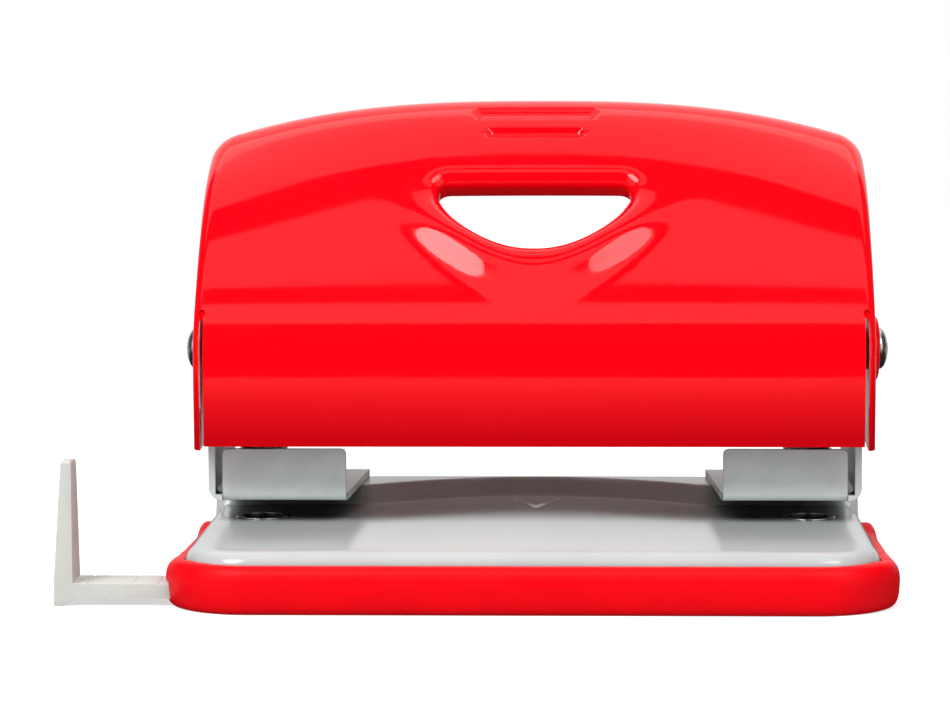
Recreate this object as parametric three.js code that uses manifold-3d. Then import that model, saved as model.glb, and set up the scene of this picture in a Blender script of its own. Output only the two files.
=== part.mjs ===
import * as THREE from "three";
import { mergeVertices } from "three/addons/utils/BufferGeometryUtils.js";
import Module from "manifold-3d";

const wasm = await Module();
wasm.setup();

// Driving dimensions, in millimetres. X runs to the right, Y away from the paper side, Z up.
// The origin lies on the desk, midway between the two cutting pins.
const holeSpacing = 80;
const pinDiameter = 5.5;
const paperMargin = 12;
const paperSlotHeight = 2.9;
const sheet = 1;
const runningGap = 0.3;
const slidingGap = 0.1;
const overrun = 2;

// Chip tray: one moulding with a fat rounded rim.
const trayFront = 39.1;
const trayBack = 28.7;
const trayHeight = 6.6;
const trayRim = 2.9;
const trayFloor = 1;
const trayCorner = 12;
const railThickness = 1;
const railHeight = 1.8;
// Outside of the rim from the desk up: inset as a share of the rim, height as a share of the tray.
const traySectionShares = [
  [0.83, 0], [0.45, 0.05], [0.15, 0.24], [0, 0.6], [0.09, 0.82], [0.3, 0.96], [0.55, 1],
];

// Base plate: pressed sheet with a rolled edge, a raised rear deck and a stamped centre mark.
const plateGap = 0.4;
const plateMargin = 0.3;
const plateTop = 8.3;
const plateRoll = 2.4;
const deckRoll = 1.5;
const riserSlope = 1.4;
const bayDepth = 9;
const bayMargin = 2;
const markHalfWidth = 3.6;
const markFront = 9.5;
const markLength = 8.6;
const markWidth = 1;
const markDepth = 0.3;

// Die rings: bright steel rims of the two cutting holes.
const dieBore = 5.8;
const dieSleeve = 6.6;
const dieFlange = 7.8;
const dieFlangeHeight = 0.25;
const dieDepth = 2;

// Brackets: folded sheet, with a floor leaf, a front flange, an outer ear and a guide shelf.
// The reaches are measured from the cutting pin's axis.
const leafReach = 13.5;
const earReach = 7.3;
const bracketFront = 5.3;
const leafMargin = 1.8;
const flangeInset = 0.8;
const flangeSetback = 2;
const flangeTop = 18.8;
const flangeCorner = 1.6;
const bendRadius = 2;
const flangeBend = 1.3;
const shelfTop = 23.5;
const shelfReach = 6.5;
const shelfBack = 6.5;
const earLobe = 5.5;

// Pivot: a domed rivet through the drawn boss of the cheek, a bush and the ear.
const pivotY = 16;
const pivotZ = 31.5;
const pivotShank = 3;
const pivotHead = 6.2;
const pivotHeadHeight = 1.5;
const pivotTail = 4.6;
const pivotTailHeight = 0.8;
const bushDiameter = 6.2;
const bossHeight = 2.5;
const bossBase = 11;
const bossTop = 9;

// Bracket rivets.
const rivetShank = 2.4;
const rivetHead = 4.2;
const rivetHeadHeight = 0.9;
const rivetY = 18;
const rivetNearReach = 8.5;
const rivetFarReach = 1.5;

// Cutting pins, return springs and retaining clips.
const pinDome = 0.8;
const pinNotchDepth = 1.3;
const pinPoint = 0.55;
const grooveDiameter = 4.3;
const clipThickness = 0.8;
const springWire = 0.7;
const springDiameter = 7.6;
const springTurns = 4.5;
const springTurnIn = 0.85;

// Lever: pressed sheet shell with two cheeks.
const cheekGap = 0.4;
const leverFront = 13;
const leverDepth = 44;
const leverFoot = 18.9;
const leverRise = 49.4;
const faceLift = 1.1;
const crownDrop = 4.8;
const crownBend = 3.7;
const frontBend = 1.5;
const slitTop = 39;
const crownStart = 51;
const slitWidth = 0.55;
const cheekLobe = 8.5;
const cheekHeel = 3;
// Angles at which the cheek's lower edge meets the round lobe at its pivot.
const lobeStart = -Math.PI / 12;
const lobeEnd = -Math.PI * 0.62;
// Side profile of the shell's outside: depth and height shares, from the foot over the crown to the rear.
const profileShares = [
  [0.014, 0], [0, 0.196], [0, 0.316], [0.018, 0.372], [0.061, 0.425], [0.182, 0.559], [0.302, 0.692],
  [0.423, 0.826], [0.534, 0.931], [0.693, 1], [0.852, 0.986], [1, 0.921],
];
const crownPower = 2.4;

// Grip opening: a half moon with a rolled lip in a shallow dish.
const gripHalfWidth = 14.8;
const gripDepth = 8.6;
const gripRound = 2;
const gripHeight = 56.4;
const lipWidth = 3;
const lipDepth = 2.2;
const dishWidth = 9;
const dishDepth = 1.2;

// Grip ribs: two pointed grooves across the crown. Each has its half length, width and height on the profile.
const ribDepth = 0.5;
const ribPoint = 2;
const gripRibs = [
  { halfLength: 9.7, width: 3.6, height: 66.9 },
  { halfLength: 8.2, width: 2.4, height: 63.6 },
];

// Press plate: a strip with a rolled nose, fixed inside the lever's face.
const pressMargin = 2.4;
const noseRadius = 2.2;
const pressFlange = 4.5;

// Paper guide: a bar with an upright stop.
const guideFront = 31;
const guideWidth = 7.5;
const guideThickness = 2.05;
const guideMargin = 13.2;
const guidePull = 12.2;
const stopFootThickness = 3;
const stopTopThickness = 1.75;
const stopTop = 20.3;
const stopRound = 0.6;
const stopHeelFoot = 1.7;
const stopHeelLength = 5.1;
const stopHeelWidth = 3;

// Sizes that follow from those above. Across the width, all of them start from the pins.
const pinX = holeSpacing / 2;
const bracketInner = pinX - leafReach;
const bracketOuter = pinX + earReach;
const flangeInner = bracketInner + flangeInset;
const flangeOuter = bracketOuter - flangeSetback;
const shelfInner = pinX - shelfReach;
const rivetNearX = pinX - rivetNearReach;
const rivetFarX = pinX + rivetFarReach;
const bayHalfWidth = bracketInner - bayMargin;
const cheekInner = bracketOuter + cheekGap;
const leverHalfWidth = cheekInner + sheet;
const slitInner = cheekInner - slitWidth;
const bossOuter = leverHalfWidth + bossHeight;
const pressHalfWidth = cheekInner - pressMargin;
const plateHalfWidth = bracketOuter + plateMargin;
const plateInset = trayRim + plateGap;
const trayWidth = 2 * (plateHalfWidth + plateInset);
const stopFaceX = trayWidth / 2 + guidePull;
const guideLength = stopFaceX + plateHalfWidth - sheet - guideMargin;
const leafBack = trayBack - plateInset - leafMargin;
const deckTop = plateTop + paperSlotHeight;
const leafTop = deckTop + sheet;
const guideBottom = trayFloor + slidingGap;
const guideTop = guideBottom + guideThickness;
const shelfBottom = shelfTop - sheet;
const clipTop = shelfBottom - runningGap;
const clipBottom = clipTop - clipThickness;
const noseZ = pivotZ;
const pinTopZ = noseZ - noseRadius - runningGap;
const pinTipZ = deckTop + 2 * slidingGap;
// The clip clears the inside of the bracket's front flange as it goes down with the pin.
const clipDiameter = 2 * (bracketFront - sheet - 2 * slidingGap);

// Facet counts.
const roundSteps = 24;
const cornerSteps = 5;
const rollSteps = 3;
const baySteps = 16;
const springStepsPerTurn = 8;
const springSides = 5;
const gripSteps = 44;
const gripColumns = 11;
const sideColumns = 4;
const bendColumns = 4;
const gripAreaShare = 0.46;
const lobeSteps = 7;
const halvings = 40;
const curveSamples = 400;
const mergeReach = 0.0001;

const red = "#e0121c";
const lightGrey = "#c9cdcb";
const bracketGrey = "#b9bebc";
const platedSteel = "#c8c8c6";

function paint(color, roughness, metalness) {
  return new THREE.MeshStandardMaterial({ color, roughness, metalness });
}

const part = new THREE.Group();

// Hangs one named piece in the part.
function add(name, geometry, material) {
  const mesh = new THREE.Mesh(geometry, material);
  mesh.name = name;
  part.add(mesh);
}

// Six times the volume inside a closed mesh, negative when its faces point inwards.
function signedVolume(positions, index) {
  const a = new THREE.Vector3();
  const b = new THREE.Vector3();
  const c = new THREE.Vector3();
  let sum = 0;
  for (let i = 0; i < index.length; i += 3) {
    a.fromBufferAttribute(positions, index[i]);
    b.fromBufferAttribute(positions, index[i + 1]);
    c.fromBufferAttribute(positions, index[i + 2]);
    sum += a.dot(b.cross(c));
  }
  return sum;
}

// Keeps position only, merges shared corners, drops empty triangles and turns the faces outwards.
function closed(geometry) {
  const bare = geometry.clone();
  bare.deleteAttribute("normal");
  bare.deleteAttribute("uv");
  const merged = mergeVertices(bare, mergeReach);
  const old = merged.index.array;
  const kept = [];
  for (let i = 0; i < old.length; i += 3) {
    const [a, b, c] = [old[i], old[i + 1], old[i + 2]];
    if (a !== b && b !== c && c !== a) {
      kept.push(a, b, c);
    }
  }
  if (signedVolume(merged.attributes.position, kept) < 0) {
    kept.reverse();
  }
  merged.setIndex(kept);
  merged.computeVertexNormals();
  return merged;
}

function toSolid(geometry) {
  const body = closed(geometry);
  const vertProperties = new Float32Array(body.attributes.position.array);
  const triVerts = new Uint32Array(body.index.array);
  return new wasm.Manifold(new wasm.Mesh({ numProp: 3, vertProperties, triVerts }));
}

function fromSolid(solid) {
  const mesh = solid.getMesh();
  const geometry = new THREE.BufferGeometry();
  geometry.setAttribute("position", new THREE.BufferAttribute(new Float32Array(mesh.vertProperties), 3));
  geometry.setIndex([...mesh.triVerts]);
  geometry.computeVertexNormals();
  return geometry;
}

function joined(first, ...others) {
  return fromSolid(others.reduce((solid, next) => solid.add(toSolid(next)), toSolid(first)));
}

function cut(body, ...tools) {
  return fromSolid(tools.reduce((solid, tool) => solid.subtract(toSolid(tool)), toSolid(body)));
}

function mirrored(geometry) {
  return closed(geometry.clone().scale(-1, 1, 1));
}

function addPair(name, geometry, material) {
  add(`right_${name}`, closed(geometry), material);
  add(`left_${name}`, mirrored(geometry), material);
}

// An outline of points extruded along an axis. The points are (x, y), (x, z) or (y, z).
function prism(points, axis, from, to) {
  const shape = new THREE.Shape(points.map(([u, v]) => new THREE.Vector2(u, v)));
  const geometry = new THREE.ExtrudeGeometry(shape, { depth: to - from, bevelEnabled: false });
  const x = new THREE.Vector3(1, 0, 0);
  const y = new THREE.Vector3(0, 1, 0);
  const z = new THREE.Vector3(0, 0, 1);
  if (axis === "x") {
    geometry.applyMatrix4(new THREE.Matrix4().makeBasis(y, z, x).setPosition(from, 0, 0));
  } else if (axis === "y") {
    geometry.applyMatrix4(new THREE.Matrix4().makeBasis(x, z, y.negate()).setPosition(0, to, 0));
  } else {
    geometry.translate(0, 0, from);
  }
  return geometry;
}

function block(x0, x1, y0, y1, z0, z1) {
  const geometry = new THREE.BoxGeometry(x1 - x0, y1 - y0, z1 - z0);
  return geometry.translate((x0 + x1) / 2, (y0 + y1) / 2, (z0 + z1) / 2);
}

// A turned body about Z, from a list of (radius, height).
function turned(profile, steps = roundSteps) {
  const points = profile.map(([radius, height]) => new THREE.Vector2(radius, height));
  return new THREE.LatheGeometry(points, steps).rotateX(Math.PI / 2);
}

// The same about X.
function turnedAlongX(profile, steps = roundSteps) {
  return turned(profile, steps).rotateY(Math.PI / 2);
}

function rod(radius, z0, z1, steps = roundSteps) {
  return turned([[0, z0], [radius, z0], [radius, z1], [0, z1]], steps);
}

// Points of an arc in a plane, from one angle to another, ends included.
function arc(u, v, radius, from, to, steps) {
  const points = [];
  for (let i = 0; i <= steps; i++) {
    const angle = from + (to - from) * (i / steps);
    points.push([u + radius * Math.cos(angle), v + radius * Math.sin(angle)]);
  }
  return points;
}

// A closed body from rings of equal count, with its first and last ring filled in.
function lofted(rings) {
  const count = rings[0].length;
  const positions = rings.flat(2);
  const index = [];
  for (let r = 0; r + 1 < rings.length; r++) {
    for (let i = 0; i < count; i++) {
      const a = r * count + i;
      const b = r * count + ((i + 1) % count);
      index.push(a, b, b + count, a, b + count, a + count);
    }
  }
  const outline = (ring) => ring.map(([x, y]) => new THREE.Vector2(x, y));
  const last = (rings.length - 1) * count;
  for (const [a, b, c] of THREE.ShapeUtils.triangulateShape(outline(rings[0]), [])) {
    index.push(c, b, a);
  }
  for (const [a, b, c] of THREE.ShapeUtils.triangulateShape(outline(rings.at(-1)), [])) {
    index.push(last + a, last + b, last + c);
  }
  const geometry = new THREE.BufferGeometry();
  geometry.setAttribute("position", new THREE.Float32BufferAttribute(positions, 3));
  geometry.setIndex(index);
  return geometry;
}

// A rectangle with rounded corners, inset from the tray's widest outline.
function trayRing(inset, z) {
  const x = trayWidth / 2 - inset;
  const front = -trayFront + inset;
  const back = trayBack - inset;
  const r = trayCorner - inset;
  const quarter = Math.PI / 2;
  const side = x - r;
  const corners = [
    [side, front + r, -1], [side, back - r, 0], [-side, back - r, 1], [-side, front + r, 2],
  ];
  return corners.flatMap(([u, v, turn]) => {
    const round = arc(u, v, r, turn * quarter, (turn + 1) * quarter, cornerSteps);
    return round.map(([ringX, ringY]) => [ringX, ringY, z]);
  });
}

// Chip tray, with the slot and the two rails that the paper guide slides in.
function chipTray() {
  const rings = traySectionShares.map(([inset, height]) => trayRing(inset * trayRim, height * trayHeight));
  rings.push(trayRing(trayRim, trayHeight), trayRing(trayRim, trayFloor));
  const innerX = trayWidth / 2 - trayRim;
  const slotFront = -guideFront - runningGap;
  const slotBack = -guideFront + guideWidth + runningGap;
  const slotTop = guideTop + runningGap;
  const slot = block(-trayWidth / 2 - overrun, -innerX + overrun, slotFront, slotBack, trayFloor, slotTop);
  const railX = innerX - trayCorner / 2;
  const rail = (y) => block(-railX, railX, y, y + railThickness, trayFloor / 2, trayFloor + railHeight);
  return joined(cut(lofted(rings), slot), rail(slotFront - railThickness), rail(slotBack));
}

// Solid under the base plate's skin, thinned by an inset: the inner one cuts the outer one hollow.
function plateBody(inset, bottom) {
  const top = plateTop - inset;
  const roll = plateRoll - inset;
  const rings = [trayRing(plateInset + inset, bottom), trayRing(plateInset + inset, top - roll)];
  for (let i = 1; i <= rollSteps; i++) {
    const turn = (i / rollSteps) * (Math.PI / 2);
    const turnedIn = plateInset + inset + roll * (1 - Math.cos(turn));
    rings.push(trayRing(turnedIn, top - roll * (1 - Math.sin(turn))));
  }
  return lofted(rings);
}

// Front of the deck in plan: the paper stops beside the brackets, and a bay curves back between them.
function riserY(x) {
  const share = Math.min(1, Math.abs(x) / bayHalfWidth);
  return paperMargin + bayDepth * (1 - share ** 2);
}

// Outline of the raised deck at one height. The front inset moves its riser back.
function deckRing(inset, frontInset, z) {
  const x = plateHalfWidth - inset;
  const back = trayBack - plateInset - inset;
  const r = trayCorner - plateInset - inset;
  const bay = [];
  for (let i = 0; i <= baySteps; i++) {
    const u = bayHalfWidth * ((2 * i) / baySteps - 1);
    bay.push([u, riserY(u) + frontInset]);
  }
  const front = [[-x, riserY(x) + frontInset], ...bay, [x, riserY(x) + frontInset]];
  const right = arc(x - r, back - r, r, 0, Math.PI / 2, cornerSteps);
  const left = arc(-x + r, back - r, r, Math.PI / 2, Math.PI, cornerSteps);
  return [...front, ...right, ...left].map(([u, v]) => [u, v, z]);
}

// Solid under the deck's skin, as for the plate.
function deckBody(inset, bottom) {
  const top = deckTop - inset;
  const roll = deckRoll - inset;
  const half = riserSlope / 2;
  const rings = [deckRing(inset, inset - half, bottom), deckRing(inset, inset - half, plateTop - inset)];
  for (let i = 0; i <= rollSteps; i++) {
    const turn = (i / rollSteps) * (Math.PI / 2);
    const side = inset + roll * (1 - Math.cos(turn));
    const front = side - half + (riserSlope * i) / rollSteps;
    rings.push(deckRing(side, front, top - roll * (1 - Math.sin(turn))));
  }
  return lofted(rings);
}

// Cutting body of one arm of the stamped centre mark.
function markArm(side) {
  const tipX = side * markHalfWidth;
  const backY = markFront + markLength;
  const inX = tipX - side * markWidth;
  const points = [[0, markFront], [tipX, backY], [inX, backY], [0, markFront + 2 * markWidth]];
  return prism(points, "z", plateTop - markDepth, plateTop + overrun);
}

// Base plate: an outer body less an inner one, then cut for the guide, die rings, rivets and mark.
function basePlate() {
  const outer = joined(plateBody(0, trayFloor), deckBody(0, plateTop - plateRoll));
  const inner = joined(plateBody(sheet, -overrun), deckBody(sheet, plateTop - plateRoll - sheet));
  const notchX = plateHalfWidth;
  const notchFront = -guideFront - runningGap;
  const notchBack = -guideFront + guideWidth + runningGap;
  const notchTop = guideTop + runningGap;
  const notch = block(-notchX - overrun, -notchX + trayCorner / 2, notchFront, notchBack, -overrun, notchTop);
  const holes = [];
  for (const side of [-1, 1]) {
    const dieHole = rod(dieSleeve / 2 + runningGap / 2, plateTop - sheet - overrun, plateTop + overrun);
    holes.push(dieHole.translate(side * pinX, 0, 0));
    for (const x of [rivetNearX, rivetFarX]) {
      const rivetHole = rod(rivetShank / 2 + runningGap, deckTop - sheet - overrun, deckTop + overrun);
      holes.push(rivetHole.translate(side * x, rivetY, 0));
    }
    holes.push(markArm(side));
  }
  return cut(outer, inner, notch, ...holes);
}

// Die ring: a sleeve through the plate with a low flange on it.
function dieRing() {
  const top = plateTop + dieFlangeHeight;
  const bottom = plateTop - dieDepth;
  const profile = [
    [dieBore / 2, bottom], [dieSleeve / 2, bottom], [dieSleeve / 2, plateTop], [dieFlange / 2, plateTop],
    [dieFlange / 2, top - dieFlangeHeight / 2], [dieFlange / 2 - dieFlangeHeight, top], [dieBore / 2, top],
    [dieBore / 2, bottom],
  ];
  return turned(profile, roundSteps + roundSteps / 3).translate(pinX, 0, 0);
}

// Folded strip in a plane: a floor from u0 to u1, a bend, and a wall up to the top.
function foldedStrip(u0, u1, floor, top, radius) {
  const bend = arc(u1 - radius, floor + radius, radius, -Math.PI / 2, 0, rollSteps + 1);
  const inner = arc(u1 - radius, floor + radius, radius - sheet, 0, -Math.PI / 2, rollSteps + 1);
  return [[u0, floor], ...bend, [u1, top], [u1 - sheet, top], ...inner, [u0, floor + sheet]];
}

// Round hole for the cutting pin through a wall between two heights.
function pinHole(z0, z1) {
  return rod(pinDiameter / 2 + runningGap / 2, z0 - overrun, z1 + overrun).translate(pinX, 0, 0);
}

// Body that rounds off a corner of the flange's free edge. The corner points right or left.
function flangeRounding(cornerX, side) {
  const from = side > 0 ? 0 : Math.PI / 2;
  const [u, v] = [cornerX - side * flangeCorner, flangeTop - flangeCorner];
  const round = arc(u, v, flangeCorner, from, from + Math.PI / 2, rollSteps);
  const back = -bracketFront + sheet + overrun;
  return prism([[cornerX, flangeTop], ...round.reverse()], "y", -bracketFront - overrun, back);
}

// The ear and the leaf are one folded strip, trimmed to the ear's outline as seen from the side.
function earAndLeaf() {
  const section = foldedStrip(bracketInner, bracketOuter, deckTop, pivotZ + earLobe, bendRadius);
  const strip = prism(section, "y", -bracketFront, leafBack);
  const lobe = arc(pivotY, pivotZ, earLobe, -Math.PI / 4, Math.PI, roundSteps / 2);
  const outline = [
    [-bracketFront, deckTop - overrun], [leafBack, deckTop - overrun], [leafBack, leafTop + bendRadius],
    ...lobe, [pivotY - earLobe, shelfTop + bendRadius], [shelfBack, shelfTop], [-bracketFront, shelfTop],
  ];
  const trim = prism(outline, "x", bracketInner - overrun, bracketOuter + overrun);
  return fromSolid(toSolid(strip).intersect(toSolid(trim)));
}

// The shelf is folded in from the ear's top, with a rounded outer corner.
function shelfFold() {
  const bend = arc(bracketOuter - flangeBend, shelfTop - flangeBend, flangeBend, 0, Math.PI / 2, rollSteps);
  const inner = bracketOuter - sheet;
  const low = shelfBottom - overrun;
  const section = [
    [shelfInner, shelfBottom], [inner, shelfBottom], [inner, low], [bracketOuter, low], ...bend,
    [shelfInner, shelfTop],
  ];
  const far = bracketOuter + overrun;
  const high = shelfTop + overrun;
  const corner = [[bracketOuter - flangeBend, high], [far, high], [far, shelfTop - flangeBend], ...bend];
  return {
    shelf: prism(section, "y", -bracketFront, shelfBack),
    cornerCut: prism(corner, "y", -bracketFront - overrun, shelfBack),
  };
}

// Right bracket. The ear carries the pivot, and the shelf and the leaf guide the cutting pin.
function bracket() {
  const { shelf, cornerCut } = shelfFold();
  const wall = foldedStrip(-shelfBack, bracketFront, deckTop, flangeTop, flangeBend).map(([u, v]) => [-u, v]);
  const flange = prism(wall.reverse(), "x", flangeInner, flangeOuter);
  const earInside = bracketOuter - sheet;
  const front = -bracketFront;
  const earGap = block(flangeOuter, earInside, front - overrun, front + flangeBend, leafTop, flangeTop);
  const rivetHoles = [rivetNearX, rivetFarX].map((x) => {
    return rod(rivetShank / 2 + runningGap, deckTop - overrun, leafTop + overrun).translate(x, rivetY, 0);
  });
  const pivotBore = pivotShank / 2 + runningGap;
  const pivotHole = turnedAlongX([
    [0, earInside - overrun], [pivotBore, earInside - overrun], [pivotBore, bracketOuter + overrun],
    [0, bracketOuter + overrun],
  ]).translate(0, pivotY, pivotZ);
  const body = joined(cut(earAndLeaf(), cornerCut), shelf, flange);
  const roundings = [flangeRounding(flangeOuter, 1), flangeRounding(flangeInner, -1)];
  const pinHoles = [pinHole(deckTop, leafTop), pinHole(shelfBottom, shelfTop)];
  return cut(body, earGap, ...roundings, ...pinHoles, ...rivetHoles, pivotHole);
}

// Points of a domed head from its rim to its crown, as (radius, distance).
function dome(radius, start, height, steps) {
  const points = [];
  for (let i = 0; i <= steps; i++) {
    const turn = (i / steps) * (Math.PI / 2);
    points.push([radius * Math.cos(turn), start + height * Math.sin(turn)]);
  }
  points[steps][0] = 0;
  return points;
}

// One rivet of a bracket: domed head on the leaf, shank, and closed end under the deck.
function bracketRivet(x) {
  const under = deckTop - sheet;
  const shank = rivetShank / 2;
  const head = rivetHead / 2;
  const profile = [
    [0, under - rivetHeadHeight], [head - rivetHeadHeight / 2, under - rivetHeadHeight], [head, under],
    [shank, under], [shank, leafTop], ...dome(head, leafTop, rivetHeadHeight, rollSteps),
  ];
  return turned(profile, roundSteps / 2).translate(x, rivetY, 0);
}

// Pivot rivet: closed end inside the ear, shank, and domed head on the boss.
function pivotRivet() {
  const shank = pivotShank / 2;
  const ear = bracketOuter - sheet;
  const tail = pivotTail / 2;
  const profile = [
    [0, ear - pivotTailHeight], [tail - pivotTailHeight / 2, ear - pivotTailHeight], [tail, ear],
    [shank, ear], [shank, bossOuter], ...dome(pivotHead / 2, bossOuter, pivotHeadHeight, rollSteps + 1),
  ];
  return turnedAlongX(profile).translate(0, pivotY, pivotZ);
}

// Pivot bush: the spacer on the rivet between the ear and the inside of the boss.
function pivotBush() {
  const inner = pivotShank / 2 + slidingGap * 2;
  const outer = bushDiameter / 2;
  const end = bossOuter - sheet - slidingGap;
  const start = bracketOuter;
  const ring = [[inner, start], [outer, start], [outer, end], [inner, end], [inner, start]];
  return turnedAlongX(ring).translate(0, pivotY, pivotZ);
}

// Cutting pin: a rod with a groove for its clip, a domed top and a notched, two-pointed cutting end.
function punchPin() {
  const r = pinDiameter / 2;
  const groove = grooveDiameter / 2;
  const side = pinTopZ - pinDome;
  const profile = [
    [0, pinTipZ], [r, pinTipZ], [r, clipBottom - slidingGap], [groove, clipBottom - slidingGap],
    [groove, clipTop + slidingGap], [r, clipTop + slidingGap], ...dome(r, side, pinDome, rollSteps),
  ];
  const half = r - pinPoint;
  const notch = [
    [-half, pinTipZ - overrun], [half, pinTipZ - overrun], [half, pinTipZ], [0, pinTipZ + pinNotchDepth],
    [-half, pinTipZ],
  ];
  return cut(turned(profile), prism(notch, "y", -r - overrun, r + overrun)).translate(pinX, 0, 0);
}

// Retaining clip: an open ring that snaps into the pin's groove from the side.
function retainingClip() {
  const outer = clipDiameter / 2;
  const inner = grooveDiameter / 2 + runningGap;
  const mouth = Math.PI / 5;
  const outside = arc(0, 0, outer, mouth, 2 * Math.PI - mouth, roundSteps);
  const inside = arc(0, 0, inner, 2 * Math.PI - mouth, mouth, roundSteps);
  return prism([...outside, ...inside], "z", clipBottom, clipTop).translate(pinX, 0, 0);
}

// Route of a return spring: straight up and down at its ends for one wire diameter, and curls between.
function springRoute() {
  const radius = (springDiameter - springWire) / 2;
  const low = leafTop + springWire + springTurnIn;
  const high = clipBottom - springWire - springTurnIn;
  const steps = springTurns * springStepsPerTurn;
  const fullAngle = springTurns * 2 * Math.PI;
  const at = (angle, z) => new THREE.Vector3(radius * Math.cos(angle), radius * Math.sin(angle), z);
  const route = [at(0, leafTop), at(0, leafTop + springWire)];
  for (let i = 1; i < steps; i++) {
    const share = i / steps;
    route.push(at(share * fullAngle, low + (high - low) * share));
  }
  route.push(at(fullAngle, clipBottom - springWire), at(fullAngle, clipBottom));
  return route;
}

// A round tube along points, closed at both ends, with its sides kept in line from step to step.
function tubeAlong(route, radius, sides) {
  const direction = (i) => {
    if (i === 0) {
      return route[1].clone().sub(route[0]).normalize();
    }
    if (i === route.length - 1) {
      return route[i].clone().sub(route[i - 1]).normalize();
    }
    const before = route[i].clone().sub(route[i - 1]).normalize();
    const after = route[i + 1].clone().sub(route[i]).normalize();
    return before.add(after).normalize();
  };
  const rings = [];
  let across = new THREE.Vector3(1, 0, 0);
  for (let i = 0; i < route.length; i++) {
    const along = direction(i);
    across.sub(along.clone().multiplyScalar(across.dot(along))).normalize();
    const up = along.clone().cross(across);
    const ring = [];
    for (let s = 0; s < sides; s++) {
      const angle = (s / sides) * 2 * Math.PI;
      const point = route[i].clone();
      point.addScaledVector(across, radius * Math.cos(angle)).addScaledVector(up, radius * Math.sin(angle));
      ring.push(point.toArray());
    }
    rings.push(ring);
  }
  return lofted(rings);
}

// Least gap between parts of a wire that lie at least half a turn apart along it.
function leastGap(route, wire) {
  let least = Infinity;
  for (let i = 0; i < route.length; i++) {
    for (let j = i + springStepsPerTurn / 2; j < route.length; j++) {
      least = Math.min(least, route[i].distanceTo(route[j]) - wire);
    }
  }
  return least;
}

function returnSpring() {
  const route = springRoute();
  console.log(`return spring: least gap to itself ${leastGap(route, springWire).toFixed(2)} mm`);
  return tubeAlong(route, springWire / 2, springSides).translate(pinX, 0, 0);
}

// Lever profile at the middle of its width, seen from the side.
const profilePoints = profileShares.map(([depth, rise]) => {
  return new THREE.Vector3(0, -leverFront + depth * leverDepth, leverFoot + rise * leverRise);
});
const profile = new THREE.CatmullRomCurve3(profilePoints, false, "centripetal");
profile.arcLengthDivisions = curveSamples;
const profileLength = profile.getLength();

// Outward direction of the skin at a share of the profile's length.
function outwardAt(share) {
  const along = profile.getTangentAt(share);
  return new THREE.Vector3(0, -along.z, along.y);
}

function crestOf(curve) {
  let crest = 0;
  for (let i = 0; i <= curveSamples; i++) {
    if (curve.getPointAt(i / curveSamples).z > curve.getPointAt(crest).z) {
      crest = i / curveSamples;
    }
  }
  return crest;
}

const crestShare = crestOf(profile);

// Share of the profile's length at which its front side reaches a height.
function shareAtHeight(z) {
  let low = 0;
  let high = crestShare;
  for (let i = 0; i < halvings; i++) {
    const middle = (low + high) / 2;
    if (profile.getPointAt(middle).z < z) {
      low = middle;
    } else {
      high = middle;
    }
  }
  return low;
}

const gripTopShare = shareAtHeight(gripHeight);
const gripMiddleShare = gripTopShare - gripDepth / 2 / profileLength;

// Distance outside the half-moon opening, negative inside. Up is along the profile from its middle.
function gripDistance(x, up) {
  const radius = (gripHalfWidth ** 2 + gripDepth ** 2) / (2 * gripDepth);
  const overTop = up - gripDepth / 2 + gripRound;
  const overArc = Math.hypot(x, up - (radius - gripDepth / 2)) - radius + gripRound;
  const inside = Math.min(Math.max(overTop, overArc), 0);
  return inside + Math.hypot(Math.max(overTop, 0), Math.max(overArc, 0)) - gripRound;
}

function dishAt(x, share) {
  const distance = Math.max(0, gripDistance(x, (share - gripMiddleShare) * profileLength));
  const lip = Math.max(0, 1 - distance / lipWidth);
  const dish = THREE.MathUtils.smoothstep(dishWidth - distance, 0, dishWidth);
  return lipDepth * lip ** 2 + dishDepth * dish;
}

// How much of the crown's side drop applies: none on the flat face, all of it from the crest back.
function crownWeight(share) {
  const crest = profile.getPointAt(crestShare).z;
  return share > crestShare ? 1 : THREE.MathUtils.smoothstep(profile.getPointAt(share).z, crownStart, crest);
}

// Width of the bend and drop of the crown at a place on the profile, and what the bend starts with.
function bendAt(share) {
  const weight = crownWeight(share);
  const width = frontBend + (crownBend - frontBend) * weight;
  const drop = crownDrop * weight;
  const flat = leverHalfWidth - width;
  const startAngle = Math.atan((crownPower * drop) / flat);
  const radius = width / (1 - Math.sin(startAngle));
  return { drop, flat, startAngle, radius };
}

// A point of the lever's skin. A station is a place across its width: web, bend or cheek.
function leverPoint(station, share, depth) {
  const at = profile.getPointAt(share);
  const outward = outwardAt(share);
  const { drop, flat, startAngle, radius } = bendAt(share);
  let x;
  let down;
  let angle;
  if (station.web !== undefined) {
    const outShare = Math.abs(station.web);
    x = outShare * flat;
    down = drop * outShare ** crownPower + dishAt(x, share);
    angle = Math.atan(Math.tan(startAngle) * outShare ** (crownPower - 1));
  } else if (station.bend !== undefined) {
    angle = startAngle + (Math.PI / 2 - startAngle) * station.bend;
    x = leverHalfWidth - radius * (1 - Math.sin(angle));
    down = drop + radius * (Math.cos(startAngle) - Math.cos(angle));
  } else {
    angle = Math.PI / 2;
    x = leverHalfWidth;
    down = drop + radius * Math.cos(startAngle) + station.cheek;
  }
  const side = Math.sign(station.web ?? station.side);
  x -= depth * Math.sin(angle);
  down += depth * Math.cos(angle);
  return at.addScaledVector(outward, -down).setX(side * x);
}

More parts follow.
